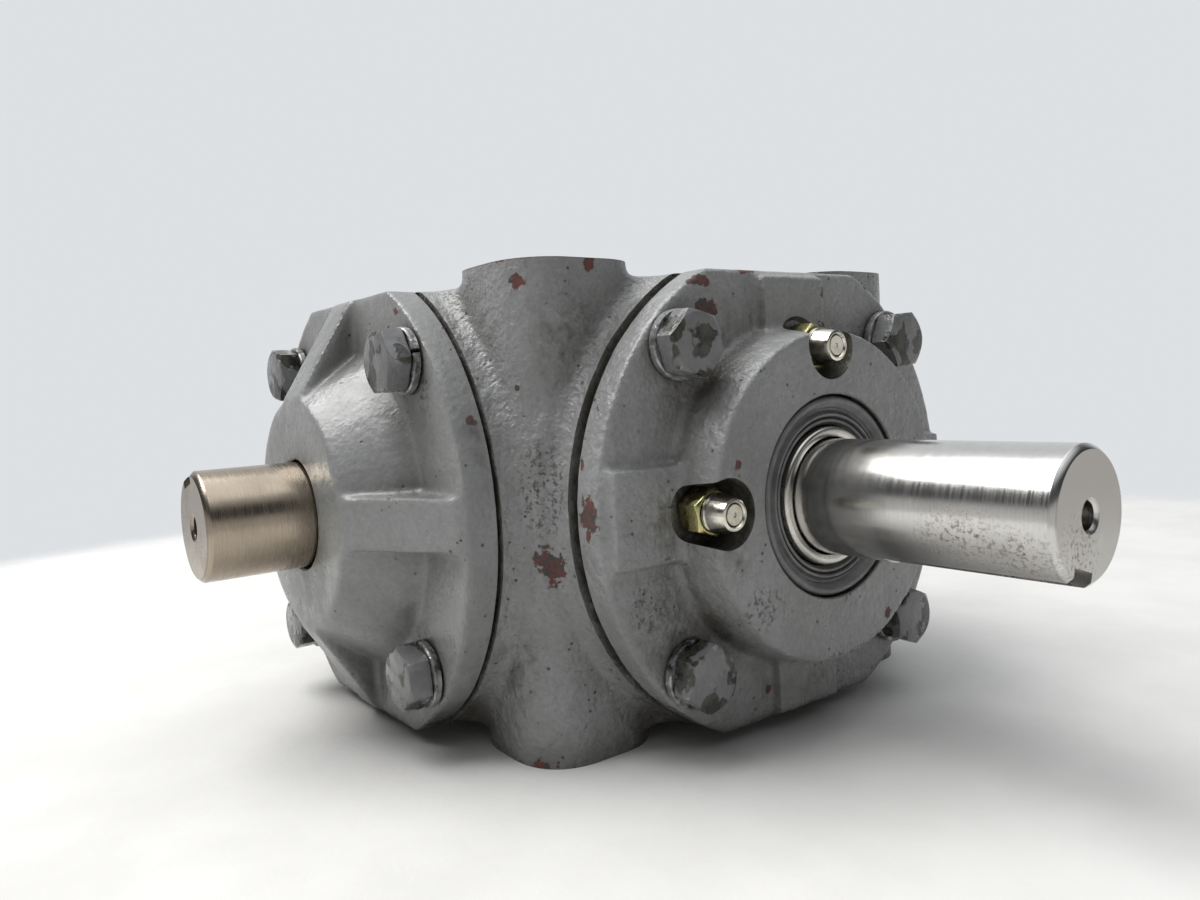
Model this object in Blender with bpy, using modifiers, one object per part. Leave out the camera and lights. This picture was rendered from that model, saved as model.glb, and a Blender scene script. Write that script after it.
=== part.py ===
"""Right angle bevel gearbox, built as its separate pieces.

Two equal one inch shafts meet at right angles in a cast iron housing. The output shaft points
along +X and the input shaft along -Y. The origin is the centre of the housing's flat underside,
straight below the crossing of the two shaft axes. Everything that sits on a shaft axis is modelled
along the local +Z of an empty, so that its heights are distances outwards from the crossing.
"""

import math

import bmesh
import bpy
from mathutils import Matrix

INCH = 0.0254
GAP = 0.0003

# Shafts
SHAFT_RADIUS = 0.5 * INCH
SHAFT_CHAMFER = 0.0009
OUTPUT_SHAFT_END = 0.1430
INPUT_SHAFT_END = 0.1134
SHAFT_REAR_END = 0.0765
GEAR_SEAT_RADIUS = 0.0150
SHOULDER_RADIUS = 0.0165
CENTRE_HOLE_RADIUS = 0.0030
CENTRE_HOLE_DEPTH = 0.0070
KEY_WIDTH = 0.25 * INCH
KEYWAY_DEPTH = 0.125 * INCH
KEYWAY_LENGTH = 1.5 * INCH
KEY_START = 0.0300
GEAR_KEY_END = 0.0480
PINION_KEY_END = 0.0465
RING_THICKNESS = 0.0012
OUTPUT_KEYWAY_ANGLE = math.radians(-17)
INPUT_KEYWAY_ANGLE = math.radians(195)

# Housing: faces, seats and the four corner posts
SEAT_FACE = 0.0667
SEAT_RADIUS = 0.0570
SEAT_FLARE = 0.0045
HALF_HEIGHT = 2.0 * INCH
BLOCK_HALF = 0.0580
POST_CENTRE = 0.0455
POST_HALF = 0.0165
POST_CORNER = 0.0115
POST_HALF_HEIGHT = 0.0540
POST_HOLE_RADIUS = 0.0040
POST_HOLE_DEPTH = 0.0160
BORE_RADIUS = 0.0420
BLIND_WALL_INSIDE = 0.0560

# Covers
PILOT_RADIUS = BORE_RADIUS - GAP
PILOT_START = 0.0600
FLANGE_RADIUS = 0.0564
FLANGE_THICKNESS = 0.0070
OUTPUT_FLANGE_BACK = 0.0692
PLAIN_FLANGE_BACK = 0.0677
OUTPUT_HUB_FACE = 0.0885
OUTPUT_HUB_RADIUS = 0.0365
OUTPUT_HUB_FOOT = 0.0385
OUTPUT_RIB_HALF = 0.0100
OUTPUT_RIB_RISE = 0.0028
INPUT_HUB_FACE = 0.0898
INPUT_HUB_RADIUS = 0.0272
INPUT_HUB_FOOT = 0.0380
INPUT_SLEEVE_START = 0.0420
INPUT_SLEEVE_RADIUS = 0.0310
PLAIN_RIB_HALF = 0.00575
REAR_HUB_FACE = 0.0845
REAR_HUB_RADIUS = 0.0300
REAR_HUB_FOOT = 0.0370
RIB_REACH_SIDE = 0.0536
RIB_REACH_FLAT = 0.0502

# Cover screws and their lock washers
BOLT_OFFSET = 0.0345
BOLT_RADIUS = 5 / 32 * INCH
BOLT_HEAD_FLATS = 0.5 * INCH
BOLT_HEAD_HEIGHT = 0.0052
BOLT_IN_HOUSING = 0.0150
BOLT_HOLE_RADIUS = BOLT_RADIUS + GAP
WASHER_RADIUS = 0.0074
WASHER_THICKNESS = 0.0018

# Tapered roller bearings, measured from the back of the cone
BEARING_WIDTH = 0.0142
CONE_WIDTH = 0.0134
CUP_START = 0.0032
CUP_RADIUS = 0.02515
CUP_INNER_WIDE = 0.0231
CUP_INNER_NARROW = 0.0213
CONE_BACK_RADIUS = 0.0194
CONE_FRONT_RADIUS = 0.0170
RACE_WIDE = 0.0177
RACE_NARROW = 0.0164
RACE_START = 0.0021
RACE_END = 0.0121
ROLLER_COUNT = 10
ROLLER_START = 0.0025
ROLLER_LENGTH = 0.0092
ROLLER_RADIUS_WIDE = 0.00235
ROLLER_RADIUS_NARROW = 0.00215
CAGE_THICKNESS = 0.0010
OUTPUT_CONE_BACK = 0.0610
REAR_CONE_BACK = 0.0610
INPUT_INNER_CONE_BACK = 0.0608
INPUT_OUTER_CONE_BACK = 0.0611

# Mitre gears
TEETH = 20
MODULE = 0.00375
FACE_WIDTH = 0.0140
PRESSURE_ANGLE = math.radians(20)
TOOTH_THINNING = 0.00035
GEAR_FRONT = 0.0285
OUTPUT_GEAR_BACK = 0.0500
OUTPUT_GEAR_HUB = 0.0220
PINION_BACK = 0.0471
PINION_HUB = 0.0165
GEAR_WEB_BACK = 0.0413
GEAR_FRONT_RADIUS = 0.0190

# Seals and relief fittings
OUTPUT_SEAL_RADIUS = 0.02225
OUTPUT_SEAL_BACK = 0.0811
WIPER_RADIUS = 0.0154
INPUT_SEAL_RADIUS = 0.0200
INPUT_SEAL_BACK = 0.0802
INPUT_SEAL_FRONT = 0.0865
INPUT_LIP_RADIUS = 0.0132
FITTING_OFFSET = 0.0330
FITTING_POCKET_RADIUS = 0.0073
FITTING_POCKET_FLOOR = 0.0780
FITTING_HEX_HEIGHT = 0.0062
FITTING_STEM_RADIUS = 0.0024
FITTING_FLATS = 0.375 * INCH
FITTING_TOP = 0.0902
CAP_RADIUS = 0.0042
CAP_FACE_RADIUS = 0.0033
CAP_ROOF = 0.0015
FITTING_THREAD_RADIUS = 0.125 * INCH
FITTING_THREAD_LENGTH = 0.0100

# Facets around each kind of round piece
TURN_STEPS = 32
SHAFT_STEPS = 24
BEARING_STEPS = 20
SMALL_STEPS = 10


# ---------------------------------------------------------------- scene helpers

def clear_scene():
    for obj in list(bpy.data.objects):
        bpy.data.objects.remove(obj, do_unlink=True)


def collection(name):
    made = bpy.data.collections.new(name)
    bpy.context.scene.collection.children.link(made)
    return made


def material(name, colour, roughness, metallic):
    made = bpy.data.materials.new(name)
    made.use_nodes = True
    shader = made.node_tree.nodes["Principled BSDF"]
    shader.inputs["Base Color"].default_value = (*colour, 1.0)
    shader.inputs["Roughness"].default_value = roughness
    shader.inputs["Metallic"].default_value = metallic
    return made


def add_object(name, mesh, parent, where, finish=None):
    obj = bpy.data.objects.new(name, mesh)
    where.objects.link(obj)
    obj.parent = parent
    if finish is not None:
        mesh.materials.clear()
        mesh.materials.append(finish)
    return obj


def as_tool(obj):
    obj.hide_render = True
    obj.display_type = "WIRE"
    return obj


def boolean(obj, tool, operation):
    step = obj.modifiers.new(operation.title(), "BOOLEAN")
    step.operation = operation
    step.object = tool
    step.solver = "EXACT"


def empty(name, parent, location=(0, 0, 0), rotation=(0, 0, 0)):
    made = bpy.data.objects.new(name, None)
    parts.objects.link(made)
    made.parent = parent
    made.location = location
    made.rotation_euler = rotation
    return made


def mesh_from(bm, name):
    mesh = bpy.data.meshes.new(name)
    bm.to_mesh(mesh)
    bm.free()
    mesh.shade_smooth()
    mesh.set_sharp_from_angle(angle=math.radians(35))
    return mesh


def bake_mesh(obj):
    """Evaluates an object's modifiers once, so that copies can share the result."""
    graph = bpy.context.evaluated_depsgraph_get()
    mesh = bpy.data.meshes.new_from_object(obj.evaluated_get(graph))
    bpy.data.objects.remove(obj)
    return mesh


# ---------------------------------------------------------------- shape helpers

def turned(name, outline, parent, where, finish=None, steps=TURN_STEPS):
    """A turned shape. The (radius, height) outline runs down its outer side; it closes into a ring
    unless it starts and ends on the axis."""
    bm = bmesh.new()
    points = [bm.verts.new((radius, 0, height)) for radius, height in outline]
    for first, second in zip(points, points[1:]):
        bm.edges.new((first, second))
    if outline[0][0] > 0:
        bm.edges.new((points[-1], points[0]))
    obj = add_object(name, mesh_from(bm, name), parent, where, finish)
    screw = obj.modifiers.new("Turn", "SCREW")
    screw.steps = steps
    screw.render_steps = steps
    screw.use_merge_vertices = True
    screw.merge_threshold = 1e-5
    return obj


def ring(name, inner, outer, low, high, parent, finish, steps=TURN_STEPS):
    outline = [(outer, high), (outer, low), (inner, low), (inner, high)]
    return turned(name, outline, parent, parts, finish, steps)


def add_cylinder(bm, radius, low, high, x=0.0, y=0.0, steps=SMALL_STEPS, turn=0.0):
    middle = Matrix.Translation((x, y, (low + high) / 2)) @ Matrix.Rotation(turn, 4, "Z")
    bmesh.ops.create_cone(bm, cap_ends=True, segments=steps, radius1=radius, radius2=radius,
                          depth=high - low, matrix=middle)


def add_box(bm, low, high, turn=0.0):
    size = [b - a for a, b in zip(low, high)]
    middle = [(a + b) / 2 for a, b in zip(low, high)]
    place = Matrix.Rotation(turn, 4, "Z") @ Matrix.Translation(middle) @ Matrix.Diagonal((*size, 1))
    bmesh.ops.create_cube(bm, size=1.0, matrix=place)


def tool_from(bm, name, parent):
    return as_tool(add_object(name, mesh_from(bm, name), parent, cutters))


def add_prism(bm, outline, half_width, across_y):
    """Extrudes an outline of (distance, height) points by half_width to both sides."""
    layers = []
    for side in (-half_width, half_width):
        layer = [bm.verts.new((d, side, h) if across_y else (-side, d, h)) for d, h in outline]
        layers.append(layer)
    bm.faces.new(layers[0])
    bm.faces.new(list(reversed(layers[1])))
    count = len(outline)
    for index in range(count):
        after = (index + 1) % count
        bm.faces.new((layers[0][after], layers[0][index], layers[1][index], layers[1][after]))


# ---------------------------------------------------------------- housing

def add_post(bm, x, y):
    made = bmesh.ops.create_cube(bm, size=1.0, matrix=Matrix.Translation((x, y, 0)) @ Matrix.Diagonal(
        (2 * POST_HALF, 2 * POST_HALF, 2 * POST_HALF_HEIGHT, 1)))
    upright = [edge for edge in {e for v in made["verts"] for e in v.link_edges}
               if abs(edge.verts[0].co.z - edge.verts[1].co.z) > POST_HALF_HEIGHT]
    bmesh.ops.bevel(bm, geom=upright, offset=POST_CORNER, segments=3, profile=0.5, affect="EDGES")


def seat_outline():
    """A round seat whose foot flares out in a hollow curve onto the block."""
    points = [(0, SEAT_FACE), (SEAT_RADIUS, SEAT_FACE)]
    for step in range(1, 3):
        angle = math.radians(45 * step)
        points.append((SEAT_RADIUS + SEAT_FLARE * (1 - math.cos(angle)),
                       SEAT_FACE - 0.0010 - SEAT_FLARE * math.sin(angle)))
    points.append((points[-1][0], BLOCK_HALF - 0.0060))
    points.append((0, BLOCK_HALF - 0.0060))
    return points


def build_housing():
    bm = bmesh.new()
    add_box(bm, (-BLOCK_HALF, -BLOCK_HALF, -HALF_HEIGHT - 0.004),
            (BLOCK_HALF, BLOCK_HALF, HALF_HEIGHT + 0.004))
    housing = add_object("housing", mesh_from(bm, "housing"), crossing, parts, paint)

    # Each seat's facets start at their own angle, so that no two seats share an edge where they meet.
    for number, axis in enumerate((output_axis, input_axis, rear_axis, blind_axis)):
        seat = as_tool(turned("seat_" + axis.name, seat_outline(), axis, cutters))
        seat.rotation_euler = (0, 0, math.radians(1.3 + 2.1 * number))
        boolean(housing, seat, "UNION")

    bm = bmesh.new()
    reach = 0.080
    add_box(bm, (-reach, -reach, HALF_HEIGHT), (reach, reach, HALF_HEIGHT + 0.020))
    add_box(bm, (-reach, -reach, -HALF_HEIGHT - 0.020), (reach, reach, -HALF_HEIGHT))
    boolean(housing, tool_from(bm, "top_and_bottom_cut", crossing), "DIFFERENCE")

    bm = bmesh.new()
    for x in (-POST_CENTRE, POST_CENTRE):
        for y in (-POST_CENTRE, POST_CENTRE):
            add_post(bm, x, y)
    boolean(housing, tool_from(bm, "corner_posts", crossing), "UNION")

    bm = bmesh.new()
    add_cylinder(bm, BORE_RADIUS, -0.080, 0.080, steps=TURN_STEPS)
    boolean(housing, tool_from(bm, "output_bore", output_axis), "DIFFERENCE")
    bm = bmesh.new()
    add_cylinder(bm, BORE_RADIUS, -BLIND_WALL_INSIDE, 0.080, steps=TURN_STEPS, turn=math.radians(3.1))
    boolean(housing, tool_from(bm, "input_bore", input_axis), "DIFFERENCE")

    for axis in (output_axis, input_axis, rear_axis):
        bm = bmesh.new()
        for x, y in bolt_places():
            add_cylinder(bm, BOLT_HOLE_RADIUS, SEAT_FACE - BOLT_IN_HOUSING - 0.003, 0.080, x, y)
        boolean(housing, tool_from(bm, "threaded_holes_" + axis.name, axis), "DIFFERENCE")

    bm = bmesh.new()
    for x in (-POST_CENTRE, POST_CENTRE):
        for y in (-POST_CENTRE, POST_CENTRE):
            for side in (-1, 1):
                ends = sorted((side * (POST_HALF_HEIGHT - POST_HOLE_DEPTH), side * 0.060))
                add_cylinder(bm, POST_HOLE_RADIUS, ends[0], ends[1], x, y)
    boolean(housing, tool_from(bm, "mounting_holes", crossing), "DIFFERENCE")


# ---------------------------------------------------------------- covers, shims and screws

def bolt_places():
    return [(x, y) for x in (-BOLT_OFFSET, BOLT_OFFSET) for y in (-BOLT_OFFSET, BOLT_OFFSET)]


def trim_flats(obj, axis, reach=HALF_HEIGHT):
    """Cuts a round piece level with the housing's top and underside."""
    bm = bmesh.new()
    add_box(bm, (reach, -0.070, 0.030), (0.075, 0.070, 0.100))
    add_box(bm, (-0.075, -0.070, 0.030), (-reach, 0.070, 0.100))
    boolean(obj, tool_from(bm, "flats_" + obj.name, axis), "DIFFERENCE")


def drill_bolt_holes(obj, axis):
    bm = bmesh.new()
    for x, y in bolt_places():
        add_cylinder(bm, BOLT_HOLE_RADIUS, 0.060, 0.095, x, y)
    boolean(obj, tool_from(bm, "bolt_holes_" + obj.name, axis), "DIFFERENCE")


def add_ribs(obj, axis, half_width, outline_for):
    """Joins two crossing bars, which make the four ribs. Local X points up or down, where the
    flange is cut flat, so those ribs are shorter."""
    for across_y, reach in ((True, RIB_REACH_FLAT), (False, RIB_REACH_SIDE)):
        bm = bmesh.new()
        add_prism(bm, outline_for(reach), half_width, across_y)
        bmesh.ops.recalc_face_normals(bm, faces=bm.faces)
        name = "ribs_{}_{}".format(obj.name, "upright" if across_y else "level")
        boolean(obj, tool_from(bm, name, axis), "UNION")


def build_output_cover():
    front = OUTPUT_FLANGE_BACK + FLANGE_THICKNESS
    outline = [(0, OUTPUT_HUB_FACE), (OUTPUT_HUB_RADIUS - 0.0015, OUTPUT_HUB_FACE),
               (OUTPUT_HUB_RADIUS, OUTPUT_HUB_FACE - 0.0015), (OUTPUT_HUB_FOOT, front),
               (FLANGE_RADIUS - 0.0012, front), (FLANGE_RADIUS, front - 0.0012),
               (FLANGE_RADIUS, OUTPUT_FLANGE_BACK), (PILOT_RADIUS, OUTPUT_FLANGE_BACK),
               (PILOT_RADIUS, PILOT_START), (0, PILOT_START)]
    cover = turned("output_cover", outline, output_axis, parts, paint)

    low = OUTPUT_FLANGE_BACK + 0.003
    high = front + OUTPUT_RIB_RISE

    def bar(reach):
        return [(-reach, low), (reach, low), (reach - 0.0008, high), (0.0008 - reach, high)]

    add_ribs(cover, output_axis, OUTPUT_RIB_HALF, bar)
    trim_flats(cover, output_axis)

    cup_shoulder = OUTPUT_CONE_BACK + BEARING_WIDTH + GAP
    bore = [(0, OUTPUT_HUB_FACE + 0.001), (OUTPUT_SEAL_RADIUS + GAP, OUTPUT_HUB_FACE + 0.001),
            (OUTPUT_SEAL_RADIUS + GAP, OUTPUT_SEAL_BACK - GAP), (0.0195, OUTPUT_SEAL_BACK - GAP),
            (0.0195, cup_shoulder), (CUP_RADIUS + GAP, cup_shoulder),
            (CUP_RADIUS + GAP, PILOT_START - 0.001), (0, PILOT_START - 0.001)]
    boolean(cover, as_tool(turned("output_cover_bore", bore, output_axis, cutters)), "DIFFERENCE")
    drill_bolt_holes(cover, output_axis)

    for name, low, high, radius in (
            ("fitting_pockets", FITTING_POCKET_FLOOR, 0.095, FITTING_POCKET_RADIUS),
            ("fitting_holes", 0.055, FITTING_POCKET_FLOOR + 0.001, FITTING_THREAD_RADIUS + GAP)):
        bm = bmesh.new()
        for x, y in FITTING_PLACES.values():
            add_cylinder(bm, radius, low, high, x, y, steps=12)
        boolean(cover, tool_from(bm, name, output_axis), "DIFFERENCE")


def build_input_cover():
    front = PLAIN_FLANGE_BACK + FLANGE_THICKNESS
    outline = [(0, INPUT_HUB_FACE), (INPUT_HUB_RADIUS, INPUT_HUB_FACE), (INPUT_HUB_FOOT, front),
               (FLANGE_RADIUS - 0.0012, front), (FLANGE_RADIUS, front - 0.0012),
               (FLANGE_RADIUS, PLAIN_FLANGE_BACK), (PILOT_RADIUS, PLAIN_FLANGE_BACK),
               (PILOT_RADIUS, PILOT_START), (INPUT_SLEEVE_RADIUS, PILOT_START),
               (INPUT_SLEEVE_RADIUS, INPUT_SLEEVE_START), (0, INPUT_SLEEVE_START)]
    cover = turned("input_cover", outline, input_axis, parts, paint)

    def bar(reach):
        low, foot, top = front - 0.004, front + 0.0009, INPUT_HUB_FACE - 0.0003
        return [(-reach, low), (reach, low), (reach, foot), (0.0280, top), (-0.0280, top),
                (-reach, foot)]

    add_ribs(cover, input_axis, PLAIN_RIB_HALF, bar)
    trim_flats(cover, input_axis)

    shoulder = INPUT_OUTER_CONE_BACK + BEARING_WIDTH + GAP
    cup_bore = CUP_RADIUS + GAP
    groove_high = INPUT_INNER_CONE_BACK - BEARING_WIDTH
    groove_low = groove_high - RING_THICKNESS - 2 * GAP
    bore = [(0, INPUT_HUB_FACE + 0.001), (INPUT_LIP_RADIUS, INPUT_HUB_FACE + 0.001),
            (INPUT_LIP_RADIUS, INPUT_SEAL_FRONT + GAP), (INPUT_SEAL_RADIUS + GAP, INPUT_SEAL_FRONT + GAP),
            (INPUT_SEAL_RADIUS + GAP, shoulder), (cup_bore, shoulder), (cup_bore, groove_high),
            (cup_bore + 0.0015, groove_high), (cup_bore + 0.0015, groove_low), (cup_bore, groove_low),
            (cup_bore, INPUT_SLEEVE_START - 0.001), (0, INPUT_SLEEVE_START - 0.001)]
    boolean(cover, as_tool(turned("input_cover_bore", bore, input_axis, cutters)), "DIFFERENCE")
    drill_bolt_holes(cover, input_axis)


def build_rear_cap():
    front = PLAIN_FLANGE_BACK + FLANGE_THICKNESS
    outline = [(0, REAR_HUB_FACE), (REAR_HUB_RADIUS, REAR_HUB_FACE), (REAR_HUB_FOOT, front),
               (FLANGE_RADIUS - 0.0012, front), (FLANGE_RADIUS, front - 0.0012),
               (FLANGE_RADIUS, PLAIN_FLANGE_BACK), (PILOT_RADIUS, PLAIN_FLANGE_BACK),
               (PILOT_RADIUS, PILOT_START), (0, PILOT_START)]
    cap = turned("rear_cap", outline, rear_axis, parts, paint)

    def bar(reach):
        low, foot, top = front - 0.004, front + 0.0009, REAR_HUB_FACE - 0.0003
        return [(-reach, low), (reach, low), (reach, foot), (0.0308, top), (-0.0308, top),
                (-reach, foot)]

    add_ribs(cap, rear_axis, PLAIN_RIB_HALF, bar)
    trim_flats(cap, rear_axis)

    shoulder = REAR_CONE_BACK + BEARING_WIDTH + GAP
    bore = [(0, 0.0790), (0.0195, 0.0790), (0.0195, shoulder), (CUP_RADIUS + GAP, shoulder),
            (CUP_RADIUS + GAP, PILOT_START - 0.001), (0, PILOT_START - 0.001)]
    boolean(cap, as_tool(turned("rear_cap_bore", bore, rear_axis, cutters)), "DIFFERENCE")
    drill_bolt_holes(cap, rear_axis)


def build_gasket(name, axis, flange_back):
    outer = 0.0535
    inner = PILOT_RADIUS + GAP
    gasket = ring(name, inner, outer, SEAT_FACE + GAP, flange_back - GAP, axis, gasket_grey)
    trim_flats(gasket, axis, reach=HALF_HEIGHT - 0.0006)
    drill_bolt_holes(gasket, axis)


def build_screws(prefix, axis, flange_back):
    seat = flange_back + FLANGE_THICKNESS
    under_head = seat + GAP + WASHER_THICKNESS + GAP
    length = under_head - (SEAT_FACE - BOLT_IN_HOUSING)

    bm = bmesh.new()
    add_cylinder(bm, BOLT_HEAD_FLATS / math.sqrt(3), 0, BOLT_HEAD_HEIGHT, steps=6)
    head = add_object("head", mesh_from(bm, "head"), axis, parts)
    bm = bmesh.new()
    add_cylinder(bm, BOLT_RADIUS, -length, 0.001)
    boolean(head, tool_from(bm, prefix + "_shank", axis), "UNION")
    bolt_mesh = bake_mesh(head)

    for number, (x, y) in enumerate(bolt_places(), start=1):
        bolt = add_object("{}_bolt_{}".format(prefix, number), bolt_mesh, axis, parts, bolt_paint)
        bolt.location = (x, y, under_head)
        bolt.rotation_euler = (0, 0, math.radians(17 * number))

    washer_mesh = None
    for number, (x, y) in enumerate(bolt_places(), start=1):
        name = "{}_lock_washer_{}".format(prefix, number)
        if washer_mesh is None:
            washer = ring(name, BOLT_HOLE_RADIUS, WASHER_RADIUS, 0, WASHER_THICKNESS, axis, bolt_paint,
                          SMALL_STEPS)
            washer_mesh = bake_mesh(washer)
        washer = add_object(name, washer_mesh, axis, parts, bolt_paint)
        washer.location = (x, y, seat + GAP)


# ---------------------------------------------------------------- shafts

def cut_box(obj, axis, name, low, high, turn=0.0):
    bm = bmesh.new()
    add_box(bm, low, high, turn)
    boolean(obj, tool_from(bm, name, axis), "DIFFERENCE")


def build_output_shaft():
    hole_floor = OUTPUT_SHAFT_END - CENTRE_HOLE_DEPTH
    seat_end = OUTPUT_CONE_BACK - GAP
    outline = [(0, hole_floor - 0.0015), (CENTRE_HOLE_RADIUS, hole_floor),
               (CENTRE_HOLE_RADIUS, OUTPUT_SHAFT_END),
               (SHAFT_RADIUS - SHAFT_CHAMFER, OUTPUT_SHAFT_END),
               (SHAFT_RADIUS, OUTPUT_SHAFT_END - SHAFT_CHAMFER), (SHAFT_RADIUS, seat_end),
               (GEAR_SEAT_RADIUS, seat_end), (GEAR_SEAT_RADIUS, GEAR_FRONT - GAP),
               (SHOULDER_RADIUS, GEAR_FRONT - GAP), (SHOULDER_RADIUS, -GEAR_FRONT),
               (GEAR_SEAT_RADIUS, -GEAR_FRONT), (GEAR_SEAT_RADIUS, GAP - REAR_CONE_BACK),
               (SHAFT_RADIUS, GAP - REAR_CONE_BACK),
               (SHAFT_RADIUS, SHAFT_CHAMFER - SHAFT_REAR_END),
               (SHAFT_RADIUS - SHAFT_CHAMFER, -SHAFT_REAR_END), (0, -SHAFT_REAR_END)]
    shaft = turned("output_shaft", outline, output_axis, parts, bright_steel, SHAFT_STEPS)
    half = KEY_WIDTH / 2
    cut_box(shaft, output_axis, "output_keyway",
            (SHAFT_RADIUS - KEYWAY_DEPTH, -half, OUTPUT_SHAFT_END - KEYWAY_LENGTH),
            (0.020, half, OUTPUT_SHAFT_END + 0.005), OUTPUT_KEYWAY_ANGLE)
    cut_box(shaft, output_axis, "output_gear_keyseat",
            (GEAR_SEAT_RADIUS - KEYWAY_DEPTH - GAP, -half - GAP, KEY_START - GAP),
            (0.020, half + GAP, GEAR_KEY_END + GAP))


def build_input_shaft():
    hole_floor = INPUT_SHAFT_END - CENTRE_HOLE_DEPTH
    ring_seat = SHAFT_RADIUS - 0.0009
    lock_low = INPUT_OUTER_CONE_BACK + BEARING_WIDTH
    outline = [(0, hole_floor - 0.0015), (CENTRE_HOLE_RADIUS, hole_floor),
               (CENTRE_HOLE_RADIUS, INPUT_SHAFT_END),
               (SHAFT_RADIUS - SHAFT_CHAMFER, INPUT_SHAFT_END),
               (SHAFT_RADIUS, INPUT_SHAFT_END - SHAFT_CHAMFER),
               (SHAFT_RADIUS, lock_low + RING_THICKNESS + GAP), (ring_seat, lock_low + RING_THICKNESS + GAP),
               (ring_seat, lock_low - GAP), (SHAFT_RADIUS, lock_low - GAP),
               (SHAFT_RADIUS, GEAR_FRONT), (ring_seat, GEAR_FRONT),
               (ring_seat, GEAR_FRONT - RING_THICKNESS - 2 * GAP),
               (SHAFT_RADIUS, GEAR_FRONT - RING_THICKNESS - 2 * GAP),
               (SHAFT_RADIUS, 0.0240), (SHAFT_RADIUS - SHAFT_CHAMFER, 0.0231), (0, 0.0231)]
    shaft = turned("input_shaft", outline, input_axis, parts, ground_steel, SHAFT_STEPS)
    half = KEY_WIDTH / 2
    cut_box(shaft, input_axis, "input_keyway",
            (SHAFT_RADIUS - KEYWAY_DEPTH, -half, INPUT_SHAFT_END - KEYWAY_LENGTH / 2),
            (0.020, half, INPUT_SHAFT_END + 0.005), INPUT_KEYWAY_ANGLE)
    cut_box(shaft, input_axis, "pinion_keyseat",
            (SHAFT_RADIUS - KEYWAY_DEPTH - GAP, -half - GAP, KEY_START - GAP),
            (0.020, half + GAP, PINION_KEY_END + GAP))


def build_key(name, axis, seat_radius, high):
    half = KEY_WIDTH / 2
    bm = bmesh.new()
    add_box(bm, (seat_radius - KEYWAY_DEPTH, -half, KEY_START),
            (seat_radius + KEYWAY_DEPTH, half, high))
    add_object(name, mesh_from(bm, name), axis, parts, dark_steel)


def build_split_ring(name, axis, inner, outer, low, high, opening):
    """A retaining ring: a flat ring with a gap at one side."""
    made = ring(name, inner, outer, low, high, axis, dark_steel, BEARING_STEPS)
    cut_box(made, axis, name + "_opening", (0, -opening / 2, low - 0.001),
            (outer + 0.002, opening / 2, high + 0.001))


# ---------------------------------------------------------------- mitre gears

def tooth_half_angles(virtual_radius):
    """Half the angle of one tooth, in the gear's own turn, at some radii of the virtual gear."""
    base = virtual_radius * math.cos(PRESSURE_ANGLE)
    pitch_half = (math.pi * MODULE / 2 - TOOTH_THINNING) / (2 * virtual_radius)
    at_pitch = math.tan(PRESSURE_ANGLE) - PRESSURE_ANGLE

    def half_angle(radius):
        pressure = math.acos(min(1.0, base / radius))
        involute = math.tan(pressure) - pressure
        return pitch_half + at_pitch - involute

    return half_angle


def tooth_loop(phase):
    """The large end's outline around the gear: six points for each tooth."""
    pitch_radius = TEETH * MODULE / 2
    virtual_radius = pitch_radius * math.sqrt(2)
    half_angle = tooth_half_angles(virtual_radius)
    root = virtual_radius - 1.25 * MODULE
    tip = virtual_radius + MODULE
    sides = ((root, -1), (virtual_radius, -1), (tip, -1), (tip, 1), (virtual_radius, 1), (root, 1))
    points = []
    for tooth in range(TEETH):
        centre = phase + 2 * math.pi * tooth / TEETH
        for radius, side in sides:
            angle = centre + side * half_angle(radius) * math.sqrt(2)
            around = radius / math.sqrt(2)
            points.append((around * math.cos(angle), around * math.sin(angle),
                           2 * pitch_radius - around))
    return points


def join_loops(bm, outer, inner, flip):
    """Fills between two loops that have a whole number of points for each tooth."""
    outer_each = len(outer) // TEETH
    inner_each = len(inner) // TEETH
    for tooth in range(TEETH):
        a, b = tooth * outer_each, tooth * inner_each
        i, j = 0, 0
        while i < outer_each or j < inner_each:
            step_outer = j == inner_each or (i < outer_each and i * inner_each <= j * outer_each)
            here, there = outer[(a + i) % len(outer)], inner[(b + j) % len(inner)]
            if step_outer:
                i += 1
                corner = outer[(a + i) % len(outer)]
            else:
                j += 1
                corner = inner[(b + j) % len(inner)]
            face = (here, corner, there)
            bm.faces.new(tuple(reversed(face)) if flip else face)


def circle(bm, radius, height, phase):
    count = 2 * TEETH
    start = phase - math.pi / TEETH * 0.5
    return [bm.verts.new((radius * math.cos(start + 2 * math.pi * k / count),
                          radius * math.sin(start + 2 * math.pi * k / count), height))
            for k in range(count)]


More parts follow.
